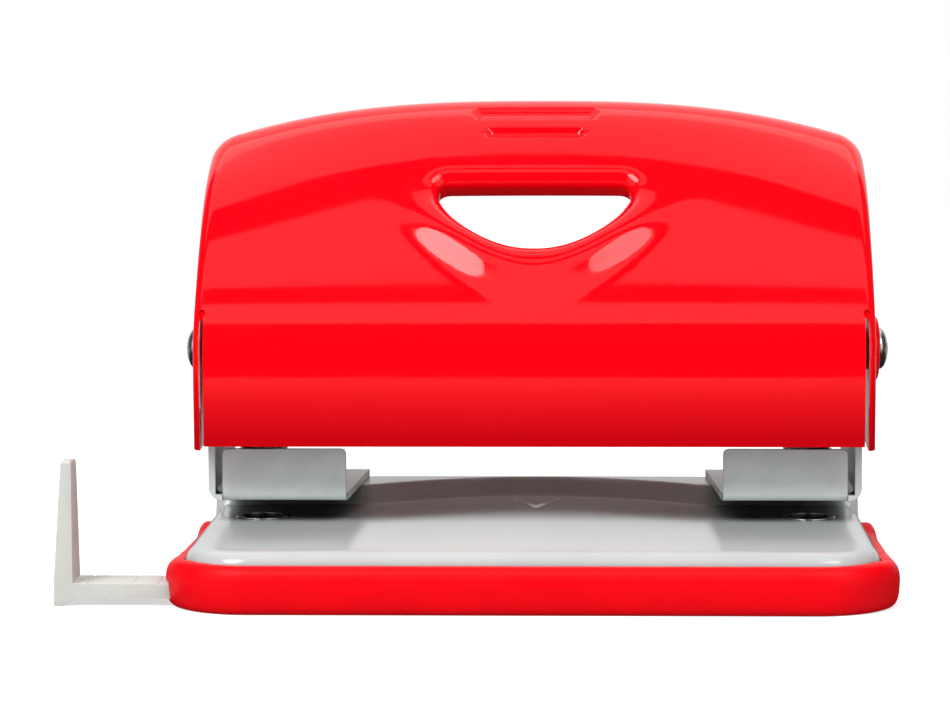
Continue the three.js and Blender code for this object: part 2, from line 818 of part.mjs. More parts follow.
// Places across the lever, from its left cheek to its right one, close together at the grip opening.
function leverStations() {
  const half = [];
  for (let i = 0; i <= gripColumns; i++) {
    half.push({ web: gripAreaShare * (i / gripColumns) });
  }
  for (let i = 1; i <= sideColumns; i++) {
    half.push({ web: gripAreaShare + (1 - gripAreaShare) * (i / sideColumns) });
  }
  for (let i = 1; i <= bendColumns; i++) {
    half.push({ bend: i / bendColumns, side: 1 });
  }
  half.push({ cheek: sheet, side: 1 });
  const flip = (station) => (station.web !== undefined ? { web: -station.web } : { ...station, side: -1 });
  return [...half.slice(1).reverse().map(flip), ...half];
}

// Places along the profile, close together where it bends and round the grip opening.
function leverShares() {
  const gripLow = gripMiddleShare - (gripDepth / 2 + lipWidth) / profileLength;
  const gripHigh = gripMiddleShare + (gripDepth / 2 + lipWidth) / profileLength;
  const ends = [
    [0, 0], [shareAtHeight(slitTop - frontBend * 3), 3], [shareAtHeight(slitTop + frontBend * 2), 6],
    [gripLow, 2], [gripHigh, 9], [1, 11],
  ];
  const shares = [0];
  for (let s = 1; s < ends.length; s++) {
    const [from] = ends[s - 1];
    const [to, count] = ends[s];
    for (let i = 1; i <= count; i++) {
      shares.push(from + (to - from) * (i / count));
    }
  }
  return shares.sort((a, b) => a - b);
}

// Closed body between an outer and an inner grid of points.
function sheetBody(outer, inner) {
  const rows = outer.length;
  const columns = outer[0].length;
  const positions = [...outer.flat(), ...inner.flat()].flatMap((point) => point.toArray());
  const index = [];
  const quad = (a, b, c, d) => index.push(a, b, c, a, c, d);
  const out = (i, j) => i * columns + j;
  const back = (i, j) => rows * columns + i * columns + j;
  for (let i = 0; i + 1 < rows; i++) {
    for (let j = 0; j + 1 < columns; j++) {
      quad(out(i, j), out(i, j + 1), out(i + 1, j + 1), out(i + 1, j));
      quad(back(i, j), back(i + 1, j), back(i + 1, j + 1), back(i, j + 1));
    }
    quad(out(i + 1, 0), back(i + 1, 0), back(i, 0), out(i, 0));
    quad(out(i, columns - 1), back(i, columns - 1), back(i + 1, columns - 1), out(i + 1, columns - 1));
  }
  for (let j = 0; j + 1 < columns; j++) {
    quad(out(0, j), back(0, j), back(0, j + 1), out(0, j + 1));
    quad(out(rows - 1, j + 1), back(rows - 1, j + 1), back(rows - 1, j), out(rows - 1, j));
  }
  const geometry = new THREE.BufferGeometry();
  geometry.setAttribute("position", new THREE.Float32BufferAttribute(positions, 3));
  geometry.setIndex(index);
  return geometry;
}

// Right cheek of the lever as seen from the side, from the web's edge to the pivot lobe and the foot.
function cheekOutline(shares) {
  const points = shares.map((share) => leverPoint({ cheek: 0, side: 1 }, share, 0));
  const edge = points.map((point) => [point.y, point.z]);
  const lobe = arc(pivotY, pivotZ, cheekLobe, lobeStart, lobeEnd, lobeSteps);
  const foot = edge[0];
  return [...edge, ...lobe, [foot[0] + cheekHeel, foot[1] + slidingGap]];
}

// Stands a flat-lying tool on the profile, with its Z along the outward direction there.
function throughSkin(tool, share) {
  const x = new THREE.Vector3(1, 0, 0);
  const turn = new THREE.Matrix4().makeBasis(x, profile.getTangentAt(share), outwardAt(share));
  return tool.applyMatrix4(turn.setPosition(profile.getPointAt(share)));
}

// Cutting body of the grip opening: its edge is found by halving along rays from its middle.
function gripTool() {
  const points = [];
  for (let i = 0; i < gripSteps; i++) {
    const angle = (i / gripSteps) * 2 * Math.PI;
    let near = 0;
    let far = gripHalfWidth;
    for (let k = 0; k < halvings; k++) {
      const reach = (near + far) / 2;
      if (gripDistance(reach * Math.cos(angle), reach * Math.sin(angle)) < 0) {
        near = reach;
      } else {
        far = reach;
      }
    }
    points.push([near * Math.cos(angle), near * Math.sin(angle)]);
  }
  return throughSkin(prism(points, "z", -gripDepth, gripDepth), gripMiddleShare);
}

// Cutting body of a grip rib: a shallow groove with pointed ends.
function ribTool({ halfLength, width, height }) {
  const w = width / 2;
  const flat = halfLength - ribPoint;
  const points = [[-halfLength, 0], [-flat, -w], [flat, -w], [halfLength, 0], [flat, w], [-flat, w]];
  return throughSkin(prism(points, "z", -ribDepth, overrun), shareAtHeight(height));
}

// The cheek's drawn boss, as a solid cone frustum thinned by an inset.
function bossBody(inset) {
  const start = leverHalfWidth - sheet - (inset > 0 ? overrun : 0);
  const end = bossOuter - inset;
  const base = bossBase / 2 - inset;
  const top = bossTop / 2 - inset;
  const round = sheet / 2;
  const wall = leverHalfWidth - inset;
  const outline = [[0, start], [base, start], [base, wall], [top, end - round], [top - round, end], [0, end]];
  return turnedAlongX(outline).translate(0, pivotY, pivotZ);
}

// Lever: the skin of web and bends, joined to two cheeks with bosses, then cut for grip, slits and ribs.
function lever() {
  const stations = leverStations();
  const shares = leverShares();
  const skin = (depth) => shares.map((share) => stations.map((station) => leverPoint(station, share, depth)));
  const web = sheetBody(skin(0), skin(sheet));
  const cheek = prism(cheekOutline(shares), "x", cheekInner, leverHalfWidth);
  const bore = pivotShank / 2 + slidingGap * 2;
  const boreEnd = bossOuter + overrun;
  const pivotHole = turnedAlongX([[0, cheekInner], [bore, cheekInner], [bore, boreEnd], [0, boreEnd]]);
  const bossed = cut(joined(cheek, bossBody(0)), bossBody(sheet), pivotHole.translate(0, pivotY, pivotZ));
  const lowFront = -leverFront - overrun;
  const slitBack = -leverFront + frontBend + sheet + runningGap;
  const slit = block(slitInner, cheekInner, lowFront, slitBack, leverFoot - overrun, slitTop);
  const faceFoot = leverFoot + faceLift;
  const underFace = block(-cheekInner, cheekInner, lowFront, slitBack, leverFoot - overrun, faceFoot);
  const tools = [gripTool(), slit, mirrored(slit), underFace, ...gripRibs.map(ribTool)];
  return cut(joined(web, bossed, mirrored(bossed)), ...tools);
}

// Press plate, seen from the side: a flange behind the lever's face, a web and a rolled nose over the pins.
function pressPlate() {
  const front = -leverFront + sheet + runningGap;
  const half = sheet / 2;
  const start = Math.asin(half / noseRadius);
  const nose = arc(0, noseZ, noseRadius, -Math.PI + start, Math.PI - start, roundSteps / 2);
  const outline = [
    [front, noseZ + half], [front, noseZ + half - pressFlange], [front + sheet, noseZ + half - pressFlange],
    [front + sheet, noseZ - half], ...nose,
  ];
  return prism(outline, "x", -pressHalfWidth, pressHalfWidth);
}

// Paper guide: the bar in its rails, the upright stop, and the heel under the stop.
function paperGuide() {
  const face = -stopFaceX;
  const [front, back] = [-guideFront, -guideFront + guideWidth];
  const bar = block(face - stopRound, face + guideLength, front, back, guideBottom, guideTop);
  const topX = face - stopTopThickness;
  const left = face - stopFootThickness;
  const stop = [
    [face, guideBottom], [face, stopTop - 2 * stopRound], [face - stopRound, stopTop],
    [topX + stopRound, stopTop], [topX, stopTop - stopRound], [left, guideTop], [left, guideBottom],
  ];
  const upright = prism(stop.reverse(), "y", front, back);
  const heelTop = guideBottom + slidingGap;
  const heel = [[left, 0], [left + stopHeelFoot, 0], [left + stopHeelLength, heelTop], [left, heelTop]];
  const middle = (front + back) / 2;
  const foot = prism(heel, "y", middle - stopHeelWidth / 2, middle + stopHeelWidth / 2);
  return joined(bar, upright, foot);
}

add("chip_tray", chipTray(), paint(red, 0.45, 0));
add("base_plate", basePlate(), paint(lightGrey, 0.2, 0));
addPair("die_ring", dieRing(), paint(platedSteel, 0.25, 1));
addPair("bracket", bracket(), paint(bracketGrey, 0.45, 0));
addPair("inner_bracket_rivet", bracketRivet(rivetNearX), paint(platedSteel, 0.35, 1));
addPair("outer_bracket_rivet", bracketRivet(rivetFarX), paint(platedSteel, 0.35, 1));
addPair("pivot_rivet", pivotRivet(), paint("#c4c1ba", 0.25, 1));
addPair("pivot_bush", pivotBush(), paint("#a9a9a6", 0.4, 1));
addPair("punch_pin", punchPin(), paint("#a5a6a6", 0.3, 1));
addPair("return_spring", returnSpring(), paint("#8d8d8c", 0.35, 1));
addPair("retaining_clip", retainingClip(), paint("#5a5a58", 0.4, 1));
add("press_plate", closed(pressPlate()), paint("#9a9b9a", 0.45, 1));
add("lever", lever(), paint(red, 0.15, 0));
add("paper_guide", paperGuide(), paint("#cfcfca", 0.5, 0));

export default part;
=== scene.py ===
import math

import bmesh
import bpy
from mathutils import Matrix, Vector
from mathutils.geometry import delaunay_2d_cdt


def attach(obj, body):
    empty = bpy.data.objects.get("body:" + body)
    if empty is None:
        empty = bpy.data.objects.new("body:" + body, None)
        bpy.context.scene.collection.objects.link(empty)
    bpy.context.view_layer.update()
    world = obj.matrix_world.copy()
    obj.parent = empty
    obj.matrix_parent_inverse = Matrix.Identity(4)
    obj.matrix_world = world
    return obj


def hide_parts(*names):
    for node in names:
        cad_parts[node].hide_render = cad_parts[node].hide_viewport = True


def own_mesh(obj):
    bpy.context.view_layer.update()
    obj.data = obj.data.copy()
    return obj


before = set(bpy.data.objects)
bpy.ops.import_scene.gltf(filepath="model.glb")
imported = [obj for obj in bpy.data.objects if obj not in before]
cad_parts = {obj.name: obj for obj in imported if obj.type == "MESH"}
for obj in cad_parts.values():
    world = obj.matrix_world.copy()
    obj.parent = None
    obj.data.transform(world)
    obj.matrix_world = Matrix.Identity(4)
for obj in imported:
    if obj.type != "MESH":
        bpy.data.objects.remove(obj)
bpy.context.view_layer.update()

# Chip tray. One red plastic moulding: a shallow box whose fat rounded rim snaps over the base plate's skirt.
# It catches the chips, and two rails on its floor lead the paper guide, which leaves by a slot at the left.
# Lengths in every section are in millimetres, and the pieces are built in metres. A body that cuts or trims
# a piece reaches past it.
metres = 0.001
past = 2.0
tray_half_width = 50.9
tray_front = -39.1
tray_back = 28.7
tray_height = 6.6
tray_rim = 2.5
tray_floor = 1.0
tray_corner = 12.0
# The rim's section from the desk up: how far in, as a share of its thickness, and how high, of its height.
rim_section_shares = (
    (0.5, 0.0), (0.34, 0.02), (0.22, 0.06), (0.13, 0.13), (0.06, 0.24), (0.02, 0.42), (0.0, 0.6),
    (0.03, 0.72), (0.09, 0.82), (0.18, 0.9), (0.3, 0.96), (0.42, 0.99), (0.55, 1.0),
)
guide_front = -31.0
guide_width = 7.5
guide_top = 3.15
guide_room = 0.3
rail_height = 1.8
rail_thickness = 1.0
tray_edge_round = 0.25
tray_step = 1.6
# Depth, and the share of its full height that the rim has there.
rim_levels = (
    (-33.0, 1.0), (-25.0, 0.9), (-18.0, 0.82), (-8.0, 0.75), (8.0, 0.69), (12.0, 0.84), (14.0, 0.84),
    (17.5, 0.62), (30.0, 0.62),
)


def rounded_outline(half_width, front, back, corner, inset, height, corner_steps=14):
    """Ring of points round a rectangle with rounded corners, moved in by an inset."""
    side = half_width - inset
    radius = corner - inset
    corners = (
        (side - radius, front + inset + radius, -90), (side - radius, back - inset - radius, 0),
        (radius - side, back - inset - radius, 90), (radius - side, front + inset + radius, 180),
    )
    ring = []
    for x, y, start in corners:
        for step in range(corner_steps + 1):
            turn = math.radians(start + 90 * step / corner_steps)
            ring.append((x + radius * math.cos(turn), y + radius * math.sin(turn), height))
    return ring


def divided(ring, step):
    """The ring with more points along its straight sides, a step apart."""
    points = []
    for first, last in zip(ring, ring[1:] + ring[:1]):
        count = max(1, round(math.hypot(last[0] - first[0], last[1] - first[1]) / step))
        points += [tuple(a + (b - a) * i / count for a, b in zip(first, last)) for i in range(count)]
    return points


def rim_level(y):
    """Share of its full height that the rim has at one depth: it dips at the sides, for the fingers."""
    for (start, low), (end, high) in zip(rim_levels, rim_levels[1:]):
        if start <= y <= end:
            share = (y - start) / (end - start)
            return low + (high - low) * share * share * (3 - 2 * share)
    return rim_levels[0][1]


def make_piece(name, points, faces, smooth_below=35):
    """New mesh piece from points in millimetres, its faces turned outwards and smoothed below an angle."""
    mesh = bpy.data.meshes.new(name)
    mesh.from_pydata([[c * metres for c in point] for point in points], [], faces)
    work = bmesh.new()
    work.from_mesh(mesh)
    bmesh.ops.remove_doubles(work, verts=work.verts, dist=0.0005 * metres)
    bmesh.ops.recalc_face_normals(work, faces=work.faces)
    work.to_mesh(mesh)
    work.free()
    piece = bpy.data.objects.new(name, mesh)
    bpy.context.scene.collection.objects.link(piece)
    smooth(piece, smooth_below)
    return piece


def smooth(piece, smooth_below=35):
    """Shades a piece smoothly, but for edges that turn by more than an angle."""
    mesh = piece.data
    mesh.polygons.foreach_set("use_smooth", [True] * len(mesh.polygons))
    mesh.set_sharp_from_angle(angle=math.radians(smooth_below))
    mesh.update()


def stacked_rings(rings, closed_ends=True):
    """Points and faces of a body drawn through rings of equal count."""
    count = len(rings[0])
    points = [point for ring in rings for point in ring]
    faces = []
    for level in range(len(rings) - 1):
        for i in range(count):
            j = (i + 1) % count
            low, high = level * count, (level + 1) * count
            faces.append((low + i, low + j, high + j, high + i))
    if closed_ends:
        faces.append(tuple(reversed(range(count))))
        faces.append(tuple(range(len(points) - count, len(points))))
    return points, faces


def block(x0, x1, y0, y1, z0, z1):
    """Points and faces of a straight-sided block."""
    corners = [(x, y, z) for z in (z0, z1) for x, y in ((x0, y0), (x1, y0), (x1, y1), (x0, y1))]
    return corners, [(3, 2, 1, 0), (4, 5, 6, 7), (0, 1, 5, 4), (1, 2, 6, 5), (2, 3, 7, 6), (3, 0, 4, 7)]


def apply_changes(piece):
    """Makes a piece's modifiers part of its mesh."""
    graph = bpy.context.evaluated_depsgraph_get()
    mesh = bpy.data.meshes.new_from_object(piece.evaluated_get(graph))
    piece.modifiers.clear()
    piece.data = mesh
    smooth(piece)


def shape_with(piece, tool, operation):
    """Cuts, joins or trims a piece with a tool body, which is then thrown away."""
    change = piece.modifiers.new("shape", "BOOLEAN")
    change.object = tool
    change.operation = operation
    change.solver = "EXACT"
    apply_changes(piece)
    bpy.data.objects.remove(tool)


def round_edges(piece, width, steps=2, above=40):
    """Rounds the edges that turn by more than an angle."""
    change = piece.modifiers.new("rounding", "BEVEL")
    change.width = width * metres
    change.segments = steps
    change.limit_method = "ANGLE"
    change.angle_limit = math.radians(above)
    apply_changes(piece)


def screen_colour(red, green, blue):
    """A colour given as it looks on a screen, from 0 to 255, as the shader wants it."""
    shares = [c / 255 for c in (red, green, blue)]
    return tuple(c / 12.92 if c <= 0.04045 else ((c + 0.055) / 1.055) ** 2.4 for c in shares) + (1.0,)


def fill_sockets(tree, node, sockets):
    """Gives each socket of a shader node its value, or wires it to another node's output."""
    for socket, value in sockets.items():
        if isinstance(value, bpy.types.NodeSocket):
            tree.links.new(value, node.inputs[socket])
        else:
            node.inputs[socket].default_value = value


def add_node(tree, kind, sockets, **settings):
    """New shader node of a kind, with its settings made before its sockets are filled."""
    node = tree.nodes.new(f"ShaderNode{kind}")
    for setting, value in settings.items():
        setattr(node, setting, value)
    fill_sockets(tree, node, sockets)
    return node


def work_out(tree, operation, *values):
    """What a sum on one to three values comes to."""
    return add_node(tree, "Math", dict(enumerate(values)), operation=operation).outputs["Value"]


def between(tree, value, low, high, start=0.0, end=1.0, **settings):
    """Start where the value is low, end where it is high, and in proportion between the two."""
    sockets = {"Value": value, "From Min": low, "From Max": high, "To Min": start, "To Max": end}
    return add_node(tree, "MapRange", sockets, **settings).outputs["Result"]


def blend(tree, share, first, second):
    """A mix of two colours: the first where the share is 0, the second where it is 1."""
    sockets = {"Factor": share, "A": first, "B": second}
    return add_node(tree, "Mix", sockets, data_type="RGBA").outputs["Result"]


def new_material(name, sockets):
    """New material with the shader's sockets that are the same all over, its node tree and its shader."""
    material = bpy.data.materials.new(name)
    material.use_nodes = True
    tree = material.node_tree
    surface = tree.nodes["Principled BSDF"]
    fill_sockets(tree, surface, sockets)
    return material, tree, surface


def finish(
    name, colour, mottle, patch, worn, wear, roughness, spread, grain, depth,
    recess_shade=None, own_recess_shade=False, foot=None, metallic=0.0, ior=1.5,
):
    """A worked surface: mottled colour, edges worn to another colour, uneven roughness and a fine grain, and
    painted shade where it is asked for.

    Patch, wear and grain are sizes in millimetres: of the mottling, the worn edges and the grain. Depth is
    how deep the grain is. The shade painted into hollows is given as how near other surfaces lie where it
    counts, its colour, and how open a place is where it starts and where it is darkest; it can count the
    piece's own faces only. Foot is painted shade towards the bottom: the height from which the colour darkens
    downwards, the height where it is darkest, and its colour there."""
    material, tree, surface = new_material(name, {"Metallic": metallic, "IOR": ior})
    place = add_node(tree, "TexCoord", {}).outputs["Object"]

    def cloud(size, detail, rough=0.5):
        sockets = {"Vector": place, "Scale": 1 / (size * metres), "Detail": detail, "Roughness": rough}
        return add_node(tree, "TexNoise", sockets).outputs["Fac"]

    coloured = blend(tree, between(tree, cloud(patch, 3), 0.35, 0.65), colour, mottle)
    softened = add_node(tree, "Bevel", {"Radius": wear * metres}).outputs["Normal"]
    plain = add_node(tree, "NewGeometry", {}).outputs["Normal"]
    turned_away = add_node(tree, "VectorMath", {0: softened, 1: plain}, operation="DOT_PRODUCT")
    ragged = work_out(tree, "MULTIPLY_ADD", cloud(patch * 0.15, 4), 0.1, turned_away.outputs["Value"])
    coloured = blend(tree, between(tree, ragged, 1.03, 0.94), coloured, worn)
    # Painted shade: where other surfaces lie close, found by ambient occlusion, the colour darkens towards a
    # dark tone.
    if recess_shade:
        reach, painted_shade_colour, shade_start, shade_full = recess_shade
        sockets = {"Distance": reach * metres}
        nearness = add_node(tree, "AmbientOcclusion", sockets, samples=8, only_local=own_recess_shade).outputs["AO"]
        coloured = blend(tree, between(tree, nearness, shade_start, shade_full), coloured, painted_shade_colour)
    # Painted shade: below a height the colour darkens downwards, towards a darker tone.
    if foot:
        top, bottom, shade = foot
        height = add_node(tree, "SeparateXYZ", {"Vector": place}).outputs["Z"]
        coloured = blend(tree, between(tree, height, top * metres, bottom * metres), coloured, shade)
    sockets = {"Height": cloud(grain, 3, 0.6), "Distance": depth * metres, "Strength": 1.0}
    fill_sockets(tree, surface, {
        "Base Color": coloured,
        "Roughness": between(tree, cloud(patch * 0.5, 2), 0.3, 0.7, roughness - spread, roughness + spread),
        "Normal": add_node(tree, "Bump", sockets).outputs["Normal"],
    })
    return material


def fit(piece, body, material, node):
    """Gives a finished piece its material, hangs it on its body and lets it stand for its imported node."""
    piece.data.materials.clear()
    piece.data.materials.append(material)
    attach(piece, body)
    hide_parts(node)


tray_inner = tray_half_width - tray_rim
slot_front = guide_front - guide_room
slot_back = guide_front + guide_width + guide_room
tray_outline = (tray_half_width, tray_front, tray_back, tray_corner)
tray_rings = [
    rounded_outline(*tray_outline, tray_rim * inset, tray_height * level)
    for inset, level in rim_section_shares + ((1.0, 1.0),)
]
tray_rings = [[(x, y, z * rim_level(y)) for x, y, z in divided(ring, tray_step)] for ring in tray_rings]
tray_rings.append(divided(rounded_outline(*tray_outline, tray_rim, tray_floor), tray_step))
chip_tray = make_piece("tray_moulding", *stacked_rings(tray_rings))
slot_tool = make_piece(
    "slot_tool",
    *block(
        -tray_half_width - past, past - tray_inner, slot_front, slot_back, tray_floor, guide_top + guide_room,
    ),
)
shape_with(chip_tray, slot_tool, "DIFFERENCE")
rail_end = tray_inner - tray_corner / 2
for rail_front in (slot_front - rail_thickness, slot_back):
    rail = make_piece(
        "rail",
        *block(
            -rail_end, rail_end, rail_front, rail_front + rail_thickness,
            tray_floor / 2, tray_floor + rail_height,
        ),
    )
    shape_with(chip_tray, rail, "UNION")
round_edges(chip_tray, tray_edge_round, above=50)
tray_plastic = finish(
    "red_tray_plastic",
    colour=screen_colour(246, 1, 18), mottle=screen_colour(238, 1, 16), patch=9,
    worn=screen_colour(252, 40, 44), wear=0.15,
    roughness=0.42, spread=0.04, grain=0.35, depth=0.006, ior=1.2,
)
fit(chip_tray, "tray", tray_plastic, "chip_tray")

# Base plate. Pressed sheet steel, painted light grey and baked glossy: a shallow cover with a rolled edge.
# Its rear part is raised into a deck that carries the brackets, and the deck's front is the paper's stop.
plate_half_width = 48.2
plate_front = -35.8
plate_back = 25.4
plate_corner = 8.7
plate_top = 8.3
plate_foot = 1.0
plate_roll = 2.4
plate_crown = 0.12
deck_top = 11.2
riser_run = 1.6
paper_margin = 12.0
bay_depth = 9.0
bay_half_width = 24.5
sheet = 1.0
mark_half_width = 3.6
mark_front = 9.5
mark_length = 8.6
mark_width = 1.0
mark_softness = 0.75
mark_fade = 0.1
mark_depth = 0.3
die_spot = 40.0
die_hole = 6.9


def smoothed(share):
    """The share with a soft start and end."""
    share = min(1.0, max(0.0, share))
    return share * share * (3 - 2 * share)


def mark_depth_at(x, y):
    """Depth of the stamped centre mark, two strokes that meet at the front."""
    along = (y - mark_front) / mark_length
    if not -mark_fade < along < 1 + mark_fade:
        return 0.0
    middle = abs(x) - (mark_half_width - mark_width / 2) * along
    across = max(0.0, 1 - abs(middle) / (mark_width * mark_softness))
    ends = min(1.0, (along + mark_fade) / mark_fade, (1 + mark_fade - along) / mark_fade)
    return mark_depth * smoothed(across) * ends


def riser_line(x):
    """Depth of the riser's foot, the paper's stop: it bows back between the brackets."""
    share = min(1.0, abs(x) / bay_half_width)
    return paper_margin + bay_depth * (1 - share * share)


def plate_level(x, y):
    """Height of the sheet's top: the plate in front, the riser and the deck behind."""
    rise = smoothed((y - riser_line(x)) / riser_run)
    crown = plate_crown * math.cos(math.pi * x / (2 * plate_half_width))
    return plate_top + (deck_top - plate_top) * rise - mark_depth_at(x, y) * (1 - rise) - plate_crown + crown


def spaced(stops):
    """Places from a list of (place, number of steps that lead to it)."""
    places = [stops[0][0]]
    for (start, _), (end, count) in zip(stops, stops[1:]):
        places.extend(start + (end - start) * (i + 1) / count for i in range(count))
    return places


def plate_half_width_at(y, inset):
    """Half width of the plate's outline at a distance from its front, moved in by an inset."""
    radius = plate_corner - inset
    near_front = plate_front + plate_corner - y
    near_back = y - (plate_back - plate_corner)
    into = max(near_front, near_back, 0.0)
    return plate_half_width - plate_corner + math.sqrt(max(0.0, radius * radius - into * into))


def plate_skin():
    """Points and faces of the outside of the sheet: a grid on top, the rolled edge and the skirt round it."""
    inset = plate_roll
    front = plate_front + inset
    back = plate_back - inset
    corner = plate_corner - inset
    shares = spaced([(-1.0, 0), (-0.6, 20), (-0.1, 28), (0.1, 34), (0.6, 28), (1.0, 20)])
    curve = [1 - math.cos(math.pi / 2 * i / 10) for i in range(10)]
    front_rows = [front + corner * c for c in curve] + spaced([(front + corner, 0), (mark_front - 0.6, 30)])
    foot_rows = [i / 40 for i in range(1, 41)]
    riser_rows = [riser_run * i / 12 for i in range(1, 13)]
    deck_rows = [1 - (1 - i / 14) ** 1.6 for i in range(1, 15)]

    def row_places(x):
        """Depths of all the rows at one place across the plate: they follow the riser's curve."""
        foot = riser_line(x)
        near = front_rows[-1]
        places = front_rows + [near + (foot - near) * share for share in foot_rows]
        places += [foot + step for step in riser_rows]
        return places + [places[-1] + (back - places[-1]) * share for share in deck_rows]

    points = []
    rows = len(front_rows) + len(foot_rows) + len(riser_rows) + len(deck_rows)
    for row in range(rows):
        for share in shares:
            x = share * (plate_half_width - inset)
            # The row's depth depends on the place across, which depends on the depth near the round corners.
            for _ in range(6):
                y = row_places(x)[row]
                x = share * plate_half_width_at(y, inset)
            points.append((x, y, plate_level(x, y)))
    columns = len(shares)
    faces = []
    for i in range(rows - 1):
        for j in range(columns - 1):
            a = i * columns + j
            faces.append((a, a + 1, a + columns + 1, a + columns))
    border = list(range(columns))
    border += [i * columns + columns - 1 for i in range(1, rows)]
    border += [(rows - 1) * columns + j for j in range(columns - 2, -1, -1)]
    border += [i * columns for i in range(rows - 2, 0, -1)]

    def way_out(x, y):
        """Level direction straight out of the sheet's edge."""
        core_x = plate_half_width - plate_corner
        along = max(-core_x, min(core_x, x))
        across = max(plate_front + plate_corner, min(plate_back - plate_corner, y))
        away = Vector((x - along, y - across))
        return away.normalized() if away.length > 0.001 else Vector((0, 1 if y > 0 else -1))

    last = border
    # The edge rolls over in a quarter round, and goes straight down to the skirt's foot.
    rolls = [(math.sin(math.radians(t)), 1 - math.cos(math.radians(t))) for t in range(9, 91, 9)]
    for out, down in rolls + [(1.0, 1.6), (1.0, None)]:
        start = len(points)
        for index in border:
            x, y, z = points[index]
            away = way_out(x, y)
            level = plate_foot if down is None else z - down * plate_roll
            points.append((x + away.x * out * plate_roll, y + away.y * out * plate_roll, level))
        ring = list(range(start, start + len(border)))
        for i in range(len(border)):
            j = (i + 1) % len(border)
            faces.append((last[i], last[j], ring[j], ring[i]))
        last = ring
    return points, faces


def give_thickness(piece, thickness):
    """Makes a sheet of the piece, which is its outer face."""
    change = piece.modifiers.new("thickness", "SOLIDIFY")
    change.thickness = thickness * metres
    change.offset = -1
    change.use_even_offset = True
    change.use_quality_normals = True
    apply_changes(piece)


def rod(x, y, radius, z0, z1, steps=48):
    """Points and faces of an upright round bar."""
    turns = [2 * math.pi * i / steps for i in range(steps)]
    return stacked_rings([
        [(x + radius * math.cos(t), y + radius * math.sin(t), z) for t in turns] for z in (z0, z1)
    ])


base_plate = make_piece("base_pressing", *plate_skin())
give_thickness(base_plate, sheet)
for side in (-1, 1):
    die_tool = rod(side * die_spot, 0, die_hole / 2, plate_top - sheet - past, plate_top + past)
    shape_with(base_plate, make_piece("die_tool", *die_tool), "DIFFERENCE")
notch_tool = make_piece(
    "notch_tool",
    *block(
        -plate_half_width - past, -plate_half_width + tray_corner / 2,
        slot_front, slot_back, plate_foot - past, guide_top + guide_room,
    ),
)
shape_with(base_plate, notch_tool, "DIFFERENCE")
# Painted shade: the grey darkens nearly to black where other surfaces lie close above the plate, as under the
# brackets.
base_paint = finish(
    "light_grey_gloss_paint",
    colour=screen_colour(190, 194, 193), mottle=screen_colour(183, 188, 188), patch=22,
    worn=screen_colour(214, 217, 216), wear=0.15,
    roughness=0.13, spread=0.02, grain=1.6, depth=0.002,
    recess_shade=(6.5, screen_colour(30, 34, 34), 0.6, 0.25), ior=1.45,
)
fit(base_plate, "base", base_paint, "base_plate")

# Die rings. Turned from bright steel and pressed into the base plate under the pins.
# The paper lies on the low flange, and the sharp bore is the fixed half of each cutter.
die_bore = 5.8
die_sleeve = 6.6
die_flange = 7.8
die_flange_height = 0.1
die_flange_sink = 0.1
die_depth = 2.0
turned_edge = 0.12
sides = ((1, "right"), (-1, "left"))


def turned(profile, steps=72, axis="z", centre=(0.0, 0.0, 0.0)):
    """Points and faces of a body turned from a closed list of (radius, distance along the axis)."""
    rings = []
    for radius, along in profile:
        ring = []
        for i in range(steps):
            turn = 2 * math.pi * i / steps
            u, v = radius * math.cos(turn), radius * math.sin(turn)
            point = (u, v, along) if axis == "z" else (along, u, v)
            ring.append(tuple(p + c for p, c in zip(point, centre)))
        rings.append(ring)
    open_bore = profile[0] == profile[-1]
    return stacked_rings(rings, closed_ends=not open_bore)


def rounded(profile, radius, steps=3):
    """A profile with its outer corners rounded, for turning. The first and last point stay."""
    points = [profile[0]]
    for before, corner, after in zip(profile, profile[1:], profile[2:]):
        back = Vector(before) - Vector(corner)
        ahead = Vector(after) - Vector(corner)
        reach = min(radius, back.length / 2.1, ahead.length / 2.1)
        start = Vector(corner) + back.normalized() * reach
        end = Vector(corner) + ahead.normalized() * reach
        for i in range(steps + 1):
            t = i / steps
            points.append(tuple(start * (1 - t) ** 2 + Vector(corner) * 2 * t * (1 - t) + end * t * t))
    points.append(profile[-1])
    return points


die_top = plate_top + die_flange_height
die_profile = rounded([
    (die_bore / 2, plate_top), (die_bore / 2, plate_top - die_depth), (die_sleeve / 2, plate_top - die_depth),
    (die_sleeve / 2, plate_top - die_flange_sink), (die_flange / 2, plate_top - die_flange_sink),
    (die_flange / 2, die_top), (die_bore / 2, die_top), (die_bore / 2, plate_top),
], turned_edge)
die_steel = finish(
    "bright_turned_steel",
    colour=(0.5, 0.49, 0.47, 1), mottle=(0.4, 0.39, 0.37, 1), patch=1.5,
    worn=(0.72, 0.72, 0.7, 1), wear=0.15,
    roughness=0.22, spread=0.06, grain=0.12, depth=0.003, metallic=1.0,
)
for side, hand in sides:
    ring = make_piece(f"{hand}_die_bush", *turned(die_profile, centre=(side * die_spot, 0, 0)))
    fit(ring, "base", die_steel, f"{hand}_die_ring")

# Brackets. Each is blanked and folded from one millimetre sheet steel, grey, with raw cut edges.
# The floor leaf is riveted to the deck, the front flange stiffens it, and the outer ear carries the lever's
# pivot. The shelf folded in from the ear guides the pin's top.
bracket_inner = 25.7
bracket_outer = 47.3
bracket_front = -5.3
leaf_back = 23.6
flange_inner = 27.3
flange_outer = 45.3
flange_top = 18.8
flange_corner = 0.8
corner_past = 0.2
corner_depth = 1.3
bracket_bend = 2.0
flange_bend = 1.3
shelf_top = 23.5
shelf_inner = 33.5
shelf_back = 6.5
ear_lobe = 5.5
trim_past = 1.0
pivot_y = 16.0
pivot_z = 31.5
pin_hole = 5.8
bracket_edge_round = 0.14


